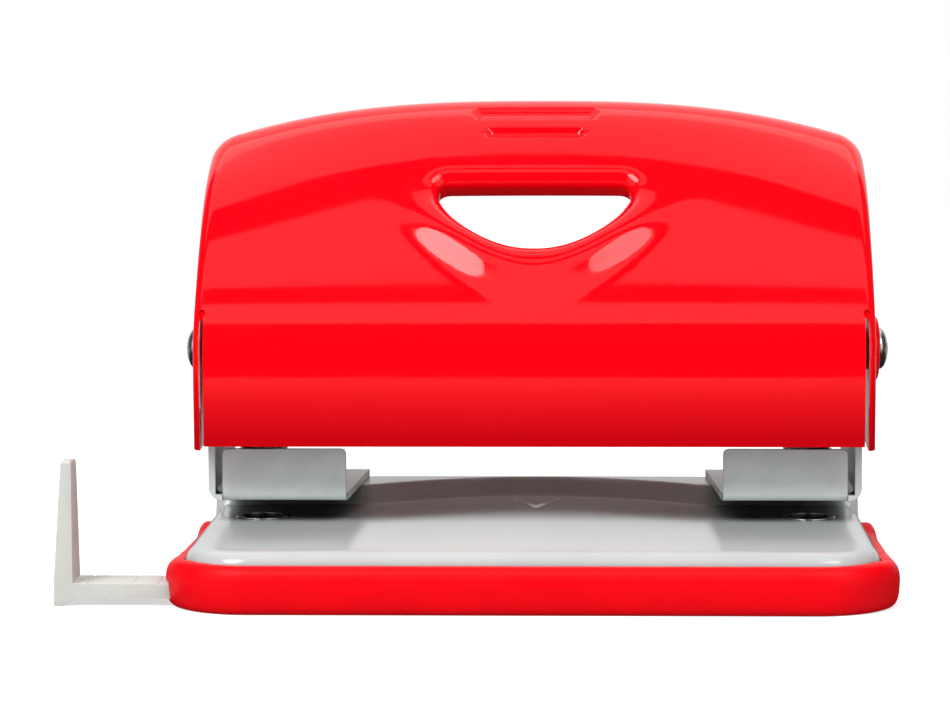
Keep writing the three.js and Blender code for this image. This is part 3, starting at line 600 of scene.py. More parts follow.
def arc(u, v, radius, start, end, steps=10):
    """Points on a circle from one angle to another, in degrees."""
    turns = [math.radians(start + (end - start) * i / steps) for i in range(steps + 1)]
    return [(u + radius * math.cos(t), v + radius * math.sin(t)) for t in turns]


def prism(outline, axis, start, end):
    """Points and faces of an outline drawn along x, y or z."""
    place = {
        "x": lambda u, v, w: (w, u, v),
        "y": lambda u, v, w: (u, w, v),
        "z": lambda u, v, w: (u, v, w),
    }[axis]
    return stacked_rings([[place(u, v, w) for u, v in outline] for w in (start, end)])


def folded_strip(start, end, floor, top, radius):
    """Outline of a strip with a floor, a bend and a wall at its end."""
    outside = arc(end - radius, floor + radius, radius, -90, 0)
    inside = arc(end - radius, floor + radius, radius - sheet, 0, -90)
    return [(start, floor)] + outside + [(end, top), (end - sheet, top)] + inside + [(start, floor + sheet)]


leaf_top = deck_top + sheet
ear_inside = bracket_outer - sheet


def folded_bracket():
    """The right bracket: a folded strip whose ear is blanked to shape, with its shelf, flange and holes."""
    strip = folded_strip(bracket_inner, bracket_outer, deck_top, pivot_z + ear_lobe, bracket_bend)
    bracket = make_piece("bracket", *prism(strip, "y", bracket_front, leaf_back))
    ear_outline = [
        (bracket_front, deck_top - past), (leaf_back, deck_top - past), (leaf_back, leaf_top + bracket_bend),
        *arc(pivot_y, pivot_z, ear_lobe, -45, 180, 24),
        (pivot_y - ear_lobe, shelf_top + bracket_bend), (shelf_back, shelf_top), (bracket_front, shelf_top),
    ]
    trim = make_piece("trim", *prism(ear_outline, "x", bracket_inner - past, bracket_outer + past))
    shape_with(bracket, trim, "INTERSECT")
    bend = arc(bracket_outer - flange_bend, shelf_top - flange_bend, flange_bend, 0, 90, 6)
    high = shelf_top + past
    wide = bracket_outer + past
    corner = [(bracket_outer - flange_bend, high), (wide, high), (wide, shelf_top - flange_bend)] + bend
    corner_tool = make_piece("corner", *prism(corner, "y", bracket_front - past, shelf_back))
    shape_with(bracket, corner_tool, "DIFFERENCE")
    shelf_bottom = shelf_top - sheet
    shelf = [
        (shelf_inner, shelf_bottom), (ear_inside, shelf_bottom), (ear_inside, shelf_bottom - past),
        (bracket_outer, shelf_bottom - past), *bend, (shelf_inner, shelf_top),
    ]
    shape_with(bracket, make_piece("shelf", *prism(shelf, "y", bracket_front, shelf_back)), "UNION")
    under, over = deck_top - trim_past, leaf_top + trim_past
    left, front, back = bracket_inner - trim_past, bracket_front - trim_past, leaf_back + trim_past
    bend_back = bracket_front + flange_bend
    front_trim = block(left, flange_outer, front, bend_back, under, over)
    shape_with(bracket, make_piece("front_trim", *front_trim), "DIFFERENCE")
    leaf_flare = [(left, front), (flange_inner, front), (bracket_inner, leaf_back), (left, back)]
    shape_with(bracket, make_piece("flare", *prism(leaf_flare, "z", under, over)), "DIFFERENCE")
    wall = [(-u, v) for u, v in folded_strip(-shelf_back, -bracket_front, deck_top, flange_top, flange_bend)]
    shape_with(bracket, make_piece("flange", *prism(wall, "x", flange_inner, flange_outer)), "UNION")
    gap = block(flange_outer, ear_inside, bracket_front - past, bend_back, leaf_top, flange_top)
    shape_with(bracket, make_piece("gap", *gap), "DIFFERENCE")
    for corner_x, way, start in ((flange_outer, 1, 0), (flange_inner, -1, 90)):
        round_corner = arc(
            corner_x - way * flange_corner, flange_top - flange_corner, flange_corner, start, start + 90, 8,
        )
        outline = [(corner_x + way * corner_past, flange_top + corner_past)] + round_corner[::-1]
        rounding = prism(outline, "y", bracket_front - past, bracket_front + corner_depth)
        shape_with(bracket, make_piece("rounding", *rounding), "DIFFERENCE")
    for z0, z1 in ((deck_top - past, leaf_top + past), (shelf_bottom - past, shelf_top + past)):
        shape_with(bracket, make_piece("hole", *rod(die_spot, 0, pin_hole / 2, z0, z1)), "DIFFERENCE")
    round_edges(bracket, bracket_edge_round, above=50)
    return bracket


def mirrored(piece, name):
    """The same piece for the left side."""
    mesh = piece.data.copy()
    for vertex in mesh.vertices:
        vertex.co.x = -vertex.co.x
    mesh.flip_normals()
    twin = bpy.data.objects.new(name, mesh)
    bpy.context.scene.collection.objects.link(twin)
    smooth(twin)
    return twin


# Painted shade: the grey darkens nearly to black in the bracket's own hollows, as in the gap between ear and
# flange.
bracket_paint = finish(
    "grey_bracket_paint",
    colour=screen_colour(228, 237, 236), mottle=screen_colour(219, 229, 228), patch=4,
    worn=screen_colour(122, 130, 134), wear=0.2,
    roughness=0.36, spread=0.06, grain=0.5, depth=0.006,
    recess_shade=(14.0, screen_colour(18, 20, 20), 0.75, 0.45), own_recess_shade=True, ior=1.45,
)
right_bracket = folded_bracket()
right_bracket.name = "right_bracket_pressing"
left_bracket = mirrored(right_bracket, "left_bracket_pressing")
fit(right_bracket, "base", bracket_paint, "right_bracket")
fit(left_bracket, "base", bracket_paint, "left_bracket")

# Bracket rivets. Four nickel-plated steel rivets, two to a bracket, closed under the deck.
rivet_shank = 2.4
rivet_head = 4.2
rivet_head_height = 0.9
rivet_taper = 0.5
axis_gap = 0.001
rivet_y = 18.0
rivet_places = (("inner", 31.5), ("outer", 41.5))


def dome(radius, start, height, steps=10):
    """Profile of a domed head from its rim to its crown."""
    turns = [math.pi / 2 * i / steps for i in range(steps)]
    curve = [(radius * math.cos(t), start + height * math.sin(t)) for t in turns]
    return curve + [(axis_gap, start + height)]


rivet_steel = finish(
    "nickel_plated_rivets",
    colour=(0.6, 0.58, 0.54, 1), mottle=(0.5, 0.48, 0.45, 1), patch=1.2,
    worn=(0.74, 0.73, 0.7, 1), wear=0.15,
    roughness=0.26, spread=0.06, grain=0.2, depth=0.006, metallic=1.0,
)
under_deck = deck_top - sheet
rivet_foot = under_deck - rivet_head_height
rivet_profile = [
    (axis_gap, rivet_foot), (rivet_head / 2 - rivet_taper, rivet_foot), (rivet_head / 2, under_deck),
    (rivet_shank / 2, under_deck), (rivet_shank / 2, leaf_top),
    *dome(rivet_head / 2, leaf_top, rivet_head_height),
]
for side, hand in sides:
    for where, x in rivet_places:
        rivet = make_piece(
            f"{hand}_{where}_leaf_rivet", *turned(rivet_profile, steps=40, centre=(side * x, rivet_y, 0)),
        )
        fit(rivet, "base", rivet_steel, f"{hand}_{where}_bracket_rivet")

# Cutting pins. Ground tool steel, five and a half millimetres thick, with a domed top that the press plate
# pushes, a groove for the clip and a notched end that shears the paper from its two points inwards.
pin_radius = 2.75
pin_tip = 11.4
pin_top = 29.0
pin_dome = 0.8
pin_notch = 1.3
pin_point = 0.55
notch_reach = 4.0
groove_radius = 2.15
clip_top = 22.2
clip_bottom = 21.4
groove_play = 0.1
pin_profile = rounded([
    (axis_gap, pin_tip), (pin_radius, pin_tip), (pin_radius, clip_bottom - groove_play),
    (groove_radius, clip_bottom - groove_play), (groove_radius, clip_top + groove_play),
    (pin_radius, clip_top + groove_play), (pin_radius, pin_top - pin_dome),
], turned_edge) + dome(pin_radius, pin_top - pin_dome, pin_dome)[1:]
pin_steel = finish(
    "ground_tool_steel",
    colour=(0.42, 0.43, 0.44, 1), mottle=(0.36, 0.37, 0.38, 1), patch=2,
    worn=(0.6, 0.61, 0.62, 1), wear=0.15,
    roughness=0.28, spread=0.08, grain=0.1, depth=0.003, metallic=1.0,
)


def notched_pin(name, x):
    """A turned pin with a shallow arrow ground out of its end."""
    pin = make_piece(name, *turned(pin_profile, centre=(x, 0, 0)))
    half = pin_radius - pin_point
    notch = [(-half, -past), (half, -past), (half, 0), (0, pin_notch), (-half, 0)]
    outline = [(x + u, pin_tip + v) for u, v in notch]
    shape_with(pin, make_piece("notch", *prism(outline, "y", -notch_reach, notch_reach)), "DIFFERENCE")
    return pin


for side, hand in sides:
    pin = notched_pin(f"{hand}_cutting_pin", side * die_spot)
    fit(pin, f"{hand}_punch", pin_steel, f"{hand}_punch_pin")

# Retaining clips. Open rings stamped from blackened spring steel.
# Each is snapped into its pin's groove from the side, and the spring pushes up against it.
clip_outer = 4.1
clip_inner = 2.45
clip_mouth = 36
clip_edge_round = 0.12
clip_steel = finish(
    "blackened_spring_steel",
    colour=(0.1, 0.1, 0.095, 1), mottle=(0.07, 0.07, 0.068, 1), patch=1.5,
    worn=(0.3, 0.3, 0.29, 1), wear=0.15,
    roughness=0.38, spread=0.08, grain=0.2, depth=0.004, metallic=1.0,
)
for side, hand in sides:
    mouth = clip_mouth if side > 0 else clip_mouth + 180
    outside = arc(side * die_spot, 0, clip_outer, mouth, mouth + 360 - 2 * clip_mouth, 48)
    inside = arc(side * die_spot, 0, clip_inner, mouth + 360 - 2 * clip_mouth, mouth, 48)
    clip = make_piece(f"{hand}_snap_clip", *prism(outside + inside, "z", clip_bottom, clip_top))
    round_edges(clip, clip_edge_round)
    fit(clip, f"{hand}_punch", clip_steel, f"{hand}_retaining_clip")

# Return springs. Coiled from drawn spring wire round the pins, between the bracket's leaf and the clip.
# They lift the pins, and the pins lift the lever, so each one shortens as its pin goes down.
wire = 0.7
spring_diameter = 7.6
spring_turns = 4.5
spring_turn_in = 0.85
spring_steps = 32
wire_sides = 12
spring_steel = finish(
    "drawn_spring_wire",
    colour=(0.4, 0.4, 0.4, 1), mottle=(0.3, 0.3, 0.3, 1), patch=1,
    worn=(0.5, 0.5, 0.5, 1), wear=0.15,
    roughness=0.3, spread=0.06, grain=0.15, depth=0.003, metallic=1.0,
)


def coiled_wire(x, way):
    """Points and faces of a coil: rings of the wire's section along a helix that turns up at both ends."""
    radius = (spring_diameter - wire) / 2
    low = leaf_top + wire + spring_turn_in
    high = clip_bottom - wire - spring_turn_in
    count = int(spring_turns * spring_steps)
    route = [Vector((radius, 0, leaf_top + wire / 2)), Vector((radius, 0, leaf_top + wire))]
    for i in range(1, count):
        turn = 2 * math.pi * spring_turns * i / count
        level = low + (high - low) * i / count
        route.append(Vector((radius * math.cos(turn), radius * math.sin(turn), level)))
    turn = 2 * math.pi * spring_turns
    end = Vector((radius * math.cos(turn), radius * math.sin(turn), 0))
    route.append(end + Vector((0, 0, clip_bottom - wire)))
    route.append(end + Vector((0, 0, clip_bottom - wire / 2)))
    rings = []
    across = Vector((1, 0, 0))
    for i, point in enumerate(route):
        along = (route[min(i + 1, len(route) - 1)] - route[max(i - 1, 0)]).normalized()
        across = (across - along * across.dot(along)).normalized()
        up = along.cross(across)
        ring = []
        for k in range(wire_sides):
            angle = 2 * math.pi * k / wire_sides
            spot = point + (across * math.cos(angle) + up * math.sin(angle)) * wire / 2
            ring.append((x + way * spot.x, spot.y, spot.z))
        rings.append(ring)
    return stacked_rings(rings)


for side, hand in sides:
    spring = make_piece(f"{hand}_coil_spring", *coiled_wire(side * die_spot, side), smooth_below=50)
    fit(spring, "base", spring_steel, f"{hand}_return_spring")
    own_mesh(spring)

# Press plate. A strip of zinc-plated steel with a rolled nose, spot-welded behind the lever's face.
# The nose lies across the tops of both pins and pushes them down together.
press_half_width = 45.3
press_front = -11.7
nose_radius = 2.2
nose_z = 31.5
press_flange = 4.5
press_edge_round = 0.15
half_sheet = sheet / 2
opening = math.degrees(math.asin(half_sheet / nose_radius))
press_outline = [
    (press_front, nose_z + half_sheet), (press_front, nose_z + half_sheet - press_flange),
    (press_front + sheet, nose_z + half_sheet - press_flange), (press_front + sheet, nose_z - half_sheet),
    *arc(0, nose_z, nose_radius, -180 + opening, 180 - opening, 40),
]
press_steel = finish(
    "zinc_plated_steel",
    colour=(0.44, 0.45, 0.44, 1), mottle=(0.36, 0.37, 0.38, 1), patch=3,
    worn=(0.55, 0.55, 0.54, 1), wear=0.15,
    roughness=0.42, spread=0.08, grain=0.4, depth=0.006, metallic=1.0,
)
press_plate = make_piece("press_strip", *prism(press_outline, "x", -press_half_width, press_half_width))
round_edges(press_plate, press_edge_round, above=50)
fit(press_plate, "lever", press_steel, "press_plate")

# Lever. Drawn and folded from one sheet of steel and painted gloss red: an arched shell with a grip opening
# whose lip is rolled inwards, two stamped grip ribs, and a cheek at each side with a boss for the pivot.
lever_half_width = 48.7
crown_drop = 4.95
crown_power = 2.7
crown_bend = 3.7
face_bend = 1.5
crown_start = 13.5
crown_growth = 2.0
foot_place = (-12.43, 19.4)
# Slope of the side profile, in degrees, by distance along it from the foot over the crown to the rear.
spine_slopes = (
    (0, 94.4), (9.2, 92.1), (14.5, 82.8), (17, 69.0), (19.5, 59.6), (22.1, 55.8), (25.2, 53.2), (29.5, 51.9),
    (37.5, 50.6), (43.5, 48.6), (47.5, 45.3), (53.5, 40.6), (58.5, 25.6), (63.5, 2.2), (69.5, -19.7),
    (75.9, -35.8),
)
grip_half_width = 14.8
grip_depth = 11.2
grip_round = 2.4
grip_height = 57.3
lip_reaches = (3.2, 4.6)
lip_depth = 2.4
lip_power = 2.2
lip_wall = 1.4
flank_turn = math.radians(48.0)
flank_height = 1.55
flank_valley = 3.0
flank_rise = (-17.2, -9.4)
flank_bow = 2.0
flank_centre = 5.4
flank_half_length = 18.0
flank_fade = (8.0, -5.0)
edge_drop = 0.8
rib_depth = 0.7
rib_point = 2.2
# Each grip rib's half length, its width, and its height on the lever's front.
ribs = ((9.7, 3.6, 66.9), (7.9, 2.2, 64.1))
cheek_lobe = 8.5
cheek_heel = 3.0
cheek_heel_rise = 0.1
cheek_inner = lever_half_width - sheet
boss_height = 2.5
boss_base = 11.0
boss_top = 9.0
boss_soft = 0.9
boss_steps = 64
boss_play = 0.01
pivot_shank = 3.0
slit_inner = 47.15
slit_top = 39.0
slit_back = -10.2
slit_front = -16.0
slit_bottom = 16.0
slit_relief = 0.55
face_foot = 20.0
lever_edge_round = 0.16


def slope_at(length):
    """Slope of the profile, smoothly between the given ones."""
    stops = spine_slopes
    for i in range(len(stops) - 1):
        if length <= stops[i + 1][0]:
            break
    (s0, a0), (s1, a1) = stops[i], stops[i + 1]
    before = stops[max(i - 1, 0)]
    after = stops[min(i + 2, len(stops) - 1)]
    m0 = (a1 - before[1]) / (s1 - before[0])
    m1 = (after[1] - a0) / (after[0] - s0)
    t = (length - s0) / (s1 - s0)
    run = s1 - s0
    return (
        (2 * t ** 3 - 3 * t ** 2 + 1) * a0 + (t ** 3 - 2 * t ** 2 + t) * run * m0
        + (3 * t ** 2 - 2 * t ** 3) * a1 + (t ** 3 - t ** 2) * run * m1
    )


spine_length = spine_slopes[-1][0]
spine_steps = 764
spine = []
walk_y, walk_z = foot_place
for step in range(spine_steps + 1):
    here = math.radians(slope_at(spine_length * step / spine_steps))
    spine.append((walk_y, walk_z, here))
    walk_y += math.cos(here) * spine_length / spine_steps
    walk_z += math.sin(here) * spine_length / spine_steps
crest_step = max(range(spine_steps + 1), key=lambda step: spine[step][1])
crest_length = spine_length * crest_step / spine_steps


def spine_at(length):
    """Place, height and slope of the profile at a distance along it."""
    place = min(max(length / spine_length, 0.0), 1.0) * spine_steps
    low = min(int(place), spine_steps - 1)
    share = place - low
    return tuple(a + (b - a) * share for a, b in zip(spine[low], spine[low + 1]))


def length_at_height(height):
    """Distance along the profile, from its foot, at which it first reaches a height."""
    return next(spine_length * step / spine_steps for step in range(spine_steps) if spine[step][1] >= height)


grip_middle = length_at_height(grip_height) - grip_depth / 2
rib_lengths = [length_at_height(height) for _, _, height in ribs]
grip_radius = (grip_half_width ** 2 + grip_depth ** 2) / (2 * grip_depth)
grip_centre = grip_radius - grip_depth / 2


def grip_distance(x, up):
    """Distance outside the half-moon opening, negative inside it."""
    over_top = up - grip_depth / 2 + grip_round
    over_arc = math.hypot(x, up - grip_centre) - grip_radius + grip_round
    inside = min(max(over_top, over_arc), 0.0)
    return inside + math.hypot(max(over_top, 0.0), max(over_arc, 0.0)) - grip_round


def flank_at(x, up):
    """Height of the two soft swellings that are drawn along the opening's lower left and lower right."""
    aside = math.hypot(x, flank_valley)
    inwards = up * math.sin(flank_turn) - aside * math.cos(flank_turn)
    along = up * math.cos(flank_turn) + aside * math.sin(flank_turn)
    from_middle = ((along - flank_centre) / flank_half_length) ** 2
    rise = smoothed((inwards - flank_bow * from_middle - flank_rise[0]) / (flank_rise[1] - flank_rise[0]))
    fade = smoothed((up - flank_fade[0]) / (flank_fade[1] - flank_fade[0]))
    return flank_height * max(0.0, 1 - from_middle) ** 2 * rise * fade


def rib_depth_at(x, length):
    """Depth of the two grip ribs: hollow grooves with pointed, faceted ends."""
    depth = 0.0
    for (half_length, width, _), middle in zip(ribs, rib_lengths):
        across = 2 * abs(length - middle) / width
        end = (half_length - abs(x)) / rib_point
        depth += rib_depth * max(0.0, min(1 - across * across, 1.5 * end - 0.6 * across))
    return depth


def dent_at(x, length):
    """How far the skin lies below the plain shell."""
    return rib_depth_at(x, length) - flank_at(x, length - grip_middle)


def crown_at(length):
    """Drop of the crown towards its sides, half width of its flat, and start and radius of its side bend."""
    share = max(0.0, min(1.0, (length - crown_start) / (crest_length - crown_start)))
    weight = smoothed(share ** crown_growth)
    width = face_bend + (crown_bend - face_bend) * weight
    drop = crown_drop * weight
    flat = lever_half_width - width
    start = math.atan(crown_power * drop / flat)
    return drop, flat, start, width / (1 - math.sin(start))


def on_shell(x, down, length, side=1):
    """A point of the skin at a distance below the profile's crest line."""
    y, z, slope = spine_at(length)
    return (side * x, y + down * math.sin(slope), z - down * math.cos(slope))


def web_point(x, length, sunk=0.0):
    """Point of the arched front and top, with the swellings and ribs, and sunk where the lip rolls in."""
    drop, flat, _, _ = crown_at(length)
    down = drop * (abs(x) / flat) ** crown_power + dent_at(x, length) + sunk
    return on_shell(abs(x), down, length, 1 if x >= 0 else -1)


def bend_point(share, length, side):
    """Point of the bend down into a cheek, at a share of the way round it."""
    drop, _, start, radius = crown_at(length)
    angle = start + (math.pi / 2 - start) * share
    x = lever_half_width - radius * (1 - math.sin(angle))
    return on_shell(x, drop + radius * (math.cos(start) - math.cos(angle)), length, side)


# Rows and columns of the skin. They lie closer together in a window round the opening and over the ribs.
window_half = 21.0
window_low = grip_middle - 13.4
window_high = grip_middle + 10.4
lengths = spaced([
    (0.0, 0), (14.0, 12), (24.0, 30), (window_low, 4), (window_high, 50), (rib_lengths[1] - 1.4, 2),
    (rib_lengths[0] + 2.2, 44), (spine_length, 26),
])
row_play = 0.001
window_rows = [i for i, s in enumerate(lengths) if window_low - row_play <= s <= window_high + row_play]
inner_columns = spaced([(-window_half, 0), (-10.4, 22), (10.4, 84), (window_half, 22)])
outer_shares = [i / 16 for i in range(1, 17)]
bend_shares = [i / 12 for i in range(1, 13)]


def shell_row(length):
    """One row of the skin, from the left cheek's edge to the right one's."""
    flat = crown_at(length)[1]
    outer = [window_half + (flat - window_half) * share for share in outer_shares]
    right = [web_point(x, length) for x in outer] + [bend_point(share, length, 1) for share in bend_shares]
    left = [web_point(-x, length) for x in outer] + [bend_point(share, length, -1) for share in bend_shares]
    return left[::-1] + [web_point(x, length) for x in inner_columns] + right


def grip_edge(x, length):
    """Point of the opening's edge on the ray from its middle through a place."""
    along = Vector((x, length - grip_middle)).normalized()
    low, high = 0.0, grip_half_width + 1
    for _ in range(40):
        reach = (low + high) / 2
        if grip_distance(along.x * reach, along.y * reach) < 0:
            low = reach
        else:
            high = reach
    return Vector((along.x * low, along.y * low + grip_middle))


def way_from_grip(edge):
    """Direction square to the opening's edge."""
    x, up, step = edge.x, edge.y - grip_middle, 0.05
    return Vector((
        grip_distance(x + step, up) - grip_distance(x - step, up),
        grip_distance(x, up + step) - grip_distance(x, up - step),
    )).normalized()


def lip_reach(way):
    """How far out the lip starts to roll: less above the opening than below it."""
    return lip_reaches[0] + (lip_reaches[1] - lip_reaches[0]) * smoothed((1 - way.y) / 2)


def lever_skin():
    """Points and faces of the arched sheet, from cheek to cheek, with the opening's rolled lip."""
    rows = [shell_row(length) for length in lengths]
    columns = len(rows[0])
    first = len(outer_shares) + len(bend_shares)
    last = first + len(inner_columns) - 1
    low_row, high_row = window_rows[0], window_rows[-1]
    points = [point for row in rows for point in row]
    faces = []
    for i in range(len(rows) - 1):
        for j in range(columns - 1):
            if low_row <= i < high_row and first <= j < last:
                continue
            a = i * columns + j
            faces.append((a, a + 1, a + columns + 1, a + columns))
    border = [(low_row, j) for j in range(first, last)]
    border += [(i, last) for i in range(low_row, high_row)]
    border += [(high_row, j) for j in range(last, first, -1)]
    border += [(i, first) for i in range(high_row, low_row, -1)]
    ring = [i * columns + j for i, j in border]
    spots = [Vector((inner_columns[j - first], lengths[i])) for i, j in border]
    plain_edges = [grip_edge(spot.x, spot.y) for spot in spots]
    ways = [way_from_grip(edge) for edge in plain_edges]
    # The opening's edge is cut lower where the flanks raise it.
    edges = []
    for edge, way in zip(plain_edges, ways):
        moved = edge
        for _ in range(6):
            start = moved + way * lip_reach(way)
            moved = edge - Vector((0, edge_drop * flank_at(start.x, start.y - grip_middle)))
        edges.append(moved)

    def add_ring(places):
        """Closes the skin inwards by one ring of points."""
        start = len(points)
        points.extend(places)
        fresh = list(range(start, start + len(border)))
        for k in range(len(border)):
            n = (k + 1) % len(border)
            faces.append((ring[k], ring[n], fresh[n], fresh[k]))
        return fresh

    roll_starts = [edge + way * lip_reach(way) for edge, way in zip(edges, ways)]
    for share in (0.87, 0.74, 0.62, 0.5, 0.4, 0.3, 0.21, 0.13, 0.06, 0.0):
        spread = [start + (spot - start) * share for spot, start in zip(spots, roll_starts)]
        ring = add_ring([web_point(place.x, place.y) for place in spread])
    # The lip rolls over, slowly at first, and goes on as a short straight wall.
    for step in range(1, 15):
        share = math.sin(math.pi / 2 * step / 14)
        sunk = lip_depth * (1 - (1 - share ** lip_power) ** (1 / lip_power))
        spread = [start + (edge - start) * share for edge, start in zip(edges, roll_starts)]
        ring = add_ring([web_point(place.x, place.y, sunk) for place in spread])
    for share in (0.35, 0.7, 1.0):
        ring = add_ring([web_point(edge.x, edge.y, lip_depth + lip_wall * share) for edge in edges])
    return points, faces


def together(*bodies):
    """One list of points and one of faces from several bodies."""
    points = []
    faces = []
    for body_points, body_faces in bodies:
        start = len(points)
        points.extend(body_points)
        faces.extend(tuple(start + i for i in face) for face in body_faces)
    return points, faces


def cheek_skin(side):
    """Flat cheek with its drawn boss, from the shell's edge to the lobe round the pivot."""
    edge = [bend_point(1.0, length, 1) for length in lengths]
    outline = [Vector((y, z)) for _, y, z in edge]
    lobe = [Vector(p) for p in arc(pivot_y, pivot_z, cheek_lobe, -15, -111.6, 24)]
    foot = outline[0]
    outline += lobe + [Vector((foot.x + cheek_heel, foot.y + cheek_heel_rise))]
    count = len(outline)
    turns = [2 * math.pi * i / boss_steps for i in range(boss_steps)]
    wide = boss_base / 2 + boss_soft
    hole = [Vector((pivot_y + wide * math.cos(t), pivot_z + wide * math.sin(t))) for t in turns]
    places, _, triangles, _, _, _ = delaunay_2d_cdt(
        outline + hole, [], [list(range(count)), list(range(count, count + boss_steps))], 1, 0.0001,
    )
    faces = []
    for face in triangles:
        middle = sum((places[i] for i in face), Vector((0, 0))) / len(face)
        if (middle - Vector((pivot_y, pivot_z))).length >= wide - boss_play:
            faces.append(tuple(face))
    points = [(side * lever_half_width, p.x, p.y) for p in places]
    # The boss's section, as radius and height: soft foot, cone, round shoulder, and a flat with the hole.
    section = (
        (wide, 0.0), (wide - 0.3, 0.04), (wide - 0.6, 0.16), (boss_base / 2 + 0.05, 0.45),
        (boss_top / 2 + 0.45, boss_height - 0.8), (boss_top / 2 + 0.3, boss_height - 0.35),
        (boss_top / 2 + 0.05, boss_height - 0.1), (boss_top / 2 - 0.35, boss_height),
        (2.6, boss_height), (pivot_shank / 2 + 0.1, boss_height),
    )
    rings = [[
        (side * (lever_half_width + height), pivot_y + radius * math.cos(t), pivot_z + radius * math.sin(t))
        for t in turns
    ] for radius, height in section]
    return together((points, faces), stacked_rings(rings, closed_ends=False))


lever = make_piece("lever_pressing", *together(lever_skin(), cheek_skin(1), cheek_skin(-1)), smooth_below=45)
give_thickness(lever, sheet)
round_edges(lever, lever_edge_round, above=60)
for side in (-1, 1):
    x0, x1 = sorted((side * slit_inner, side * cheek_inner))
    slit = make_piece("slit", *block(x0, x1, slit_front, slit_back, slit_bottom, slit_top))
    shape_with(lever, slit, "DIFFERENCE")
    middle = (x0 + x1) / 2
    round_end = arc(middle, slit_top, slit_relief, 0, 360, 20)[:-1]
    relief = make_piece("relief", *prism(round_end, "y", slit_front, slit_back))
    shape_with(lever, relief, "DIFFERENCE")
foot_cut = block(-cheek_inner, cheek_inner, slit_front, slit_back, slit_bottom, face_foot)
shape_with(lever, make_piece("foot_cut", *foot_cut), "DIFFERENCE")
smooth(lever, 40)
# Painted shade: the red darkens downwards from 30.5 mm high, to its darkest at 21.3 mm near the lever's lower
# edge.
lever_paint = finish(
    "gloss_red_paint",
    colour=screen_colour(255, 1, 18), mottle=screen_colour(250, 1, 17), patch=25,
    worn=screen_colour(255, 24, 30), wear=0.2,
    roughness=0.07, spread=0.02, grain=2.2, depth=0.002, ior=1.33,
    foot=(30.5, 21.3, screen_colour(200, 1, 14)),
)
fit(lever, "lever", lever_paint, "lever")

# Pivots. A nickel-plated rivet with a domed head goes through the lever's boss, a spacer bush and the
# bracket's ear at each side, and is closed inside the ear.
pivot_head = 6.2
pivot_head_height = 1.5
pivot_tail = 4.6
pivot_tail_height = 0.8
bush_radius = 3.1
bush_play = 0.2
bush_edge = 0.15
pivot_edge = 0.1
pivot_head_rim = 0.15
boss_outer = lever_half_width + boss_height
bush_end = boss_outer - sheet - 0.1
bush_steel = finish(
    "turned_bush_steel",
    colour=(0.46, 0.46, 0.45, 1), mottle=(0.4, 0.4, 0.39, 1), patch=1.5,
    worn=(0.6, 0.6, 0.59, 1), wear=0.15,
    roughness=0.35, spread=0.05, grain=0.2, depth=0.004, metallic=1.0,
)
tail_end = ear_inside - pivot_tail_height
pivot_profile = [
    (axis_gap, tail_end), (pivot_tail / 2 - rivet_taper, tail_end),
    (pivot_tail / 2 - pivot_edge, ear_inside - 0.3), (pivot_tail / 2, ear_inside),
    (pivot_shank / 2, ear_inside), (pivot_shank / 2, boss_outer), (pivot_head / 2 - pivot_edge, boss_outer),
    *dome(pivot_head / 2, boss_outer + pivot_head_rim, pivot_head_height - pivot_head_rim, 14),
]
bush_bore = pivot_shank / 2 + bush_play
bush_profile = rounded([
    (bush_bore, (bracket_outer + bush_end) / 2), (bush_bore, bracket_outer), (bush_radius, bracket_outer),
    (bush_radius, bush_end), (bush_bore, bush_end), (bush_bore, (bracket_outer + bush_end) / 2),
], bush_edge)
for side, hand in sides:
    centre = (0, pivot_y, pivot_z)
    head = [(radius, side * along) for radius, along in pivot_profile]
    pivot = make_piece(f"{hand}_pivot_pin", *turned(head, axis="x", centre=centre))
    fit(pivot, "base", rivet_steel, f"{hand}_pivot_rivet")
    sleeve = [(radius, side * along) for radius, along in bush_profile]
    bush = make_piece(f"{hand}_pivot_spacer", *turned(sleeve, axis="x", centre=centre))
    fit(bush, "base", bush_steel, f"{hand}_pivot_bush")

# Paper guide. A light grey moulding: a flat bar that slides in the tray, with an upright stop for the paper's
# edge. A small heel under the stop keeps it off the desk, and cross lines on the bar mark its stops.
stop_face = -63.5
guide_end = 33.4
guide_bottom = 1.1
stop_foot = 2.6
stop_head = 1.45
stop_top = 20.3
stop_round = 0.5
bar_overlap = 0.6
stop_head_depth = 5.3
guide_edge_round = 0.28
heel_foot = 1.3
heel_length = 3.8
heel_width = 3.0
heel_overlap = 0.1
line_depth = 0.1
line_width = 0.28
line_places = (-61.4, -55.1, -51.6)
guide_back = guide_front + guide_width
stop_left = stop_face - stop_foot
stop_outline = [
    (stop_face, guide_bottom), (stop_face, stop_top - 2 * stop_round),
    *arc(stop_face - stop_round, stop_top - stop_round, stop_round, 0, 90, 6)[1:],
    *arc(stop_face - stop_head + stop_round, stop_top - stop_round, stop_round, 90, 180, 6),
    (stop_left, guide_top), (stop_left, guide_bottom),
]
guide = make_piece("guide_moulding", *block(
    stop_face - bar_overlap, guide_end, guide_front, guide_back, guide_bottom, guide_top,
))
stop = make_piece("stop", *prism(stop_outline, "y", guide_front, guide_back))
head_back = guide_front + stop_head_depth
head_front = guide_front + stop_round
side_outline = [
    (guide_back, guide_bottom - trim_past), (guide_back, guide_top), (head_back, stop_top - 4 * stop_round),
    *arc(head_back - 3 * stop_round, stop_top - 3.4 * stop_round, 3 * stop_round, 0, 84, 8)[1:],
    (head_front, stop_top), *arc(head_front, stop_top - stop_round, stop_round, 90, 180, 4)[1:],
    (guide_front, guide_bottom - trim_past),
]
stop_side = make_piece("stop_side", *prism(side_outline, "x", stop_left - trim_past, stop_face + trim_past))
shape_with(stop, stop_side, "INTERSECT")
shape_with(guide, stop, "UNION")
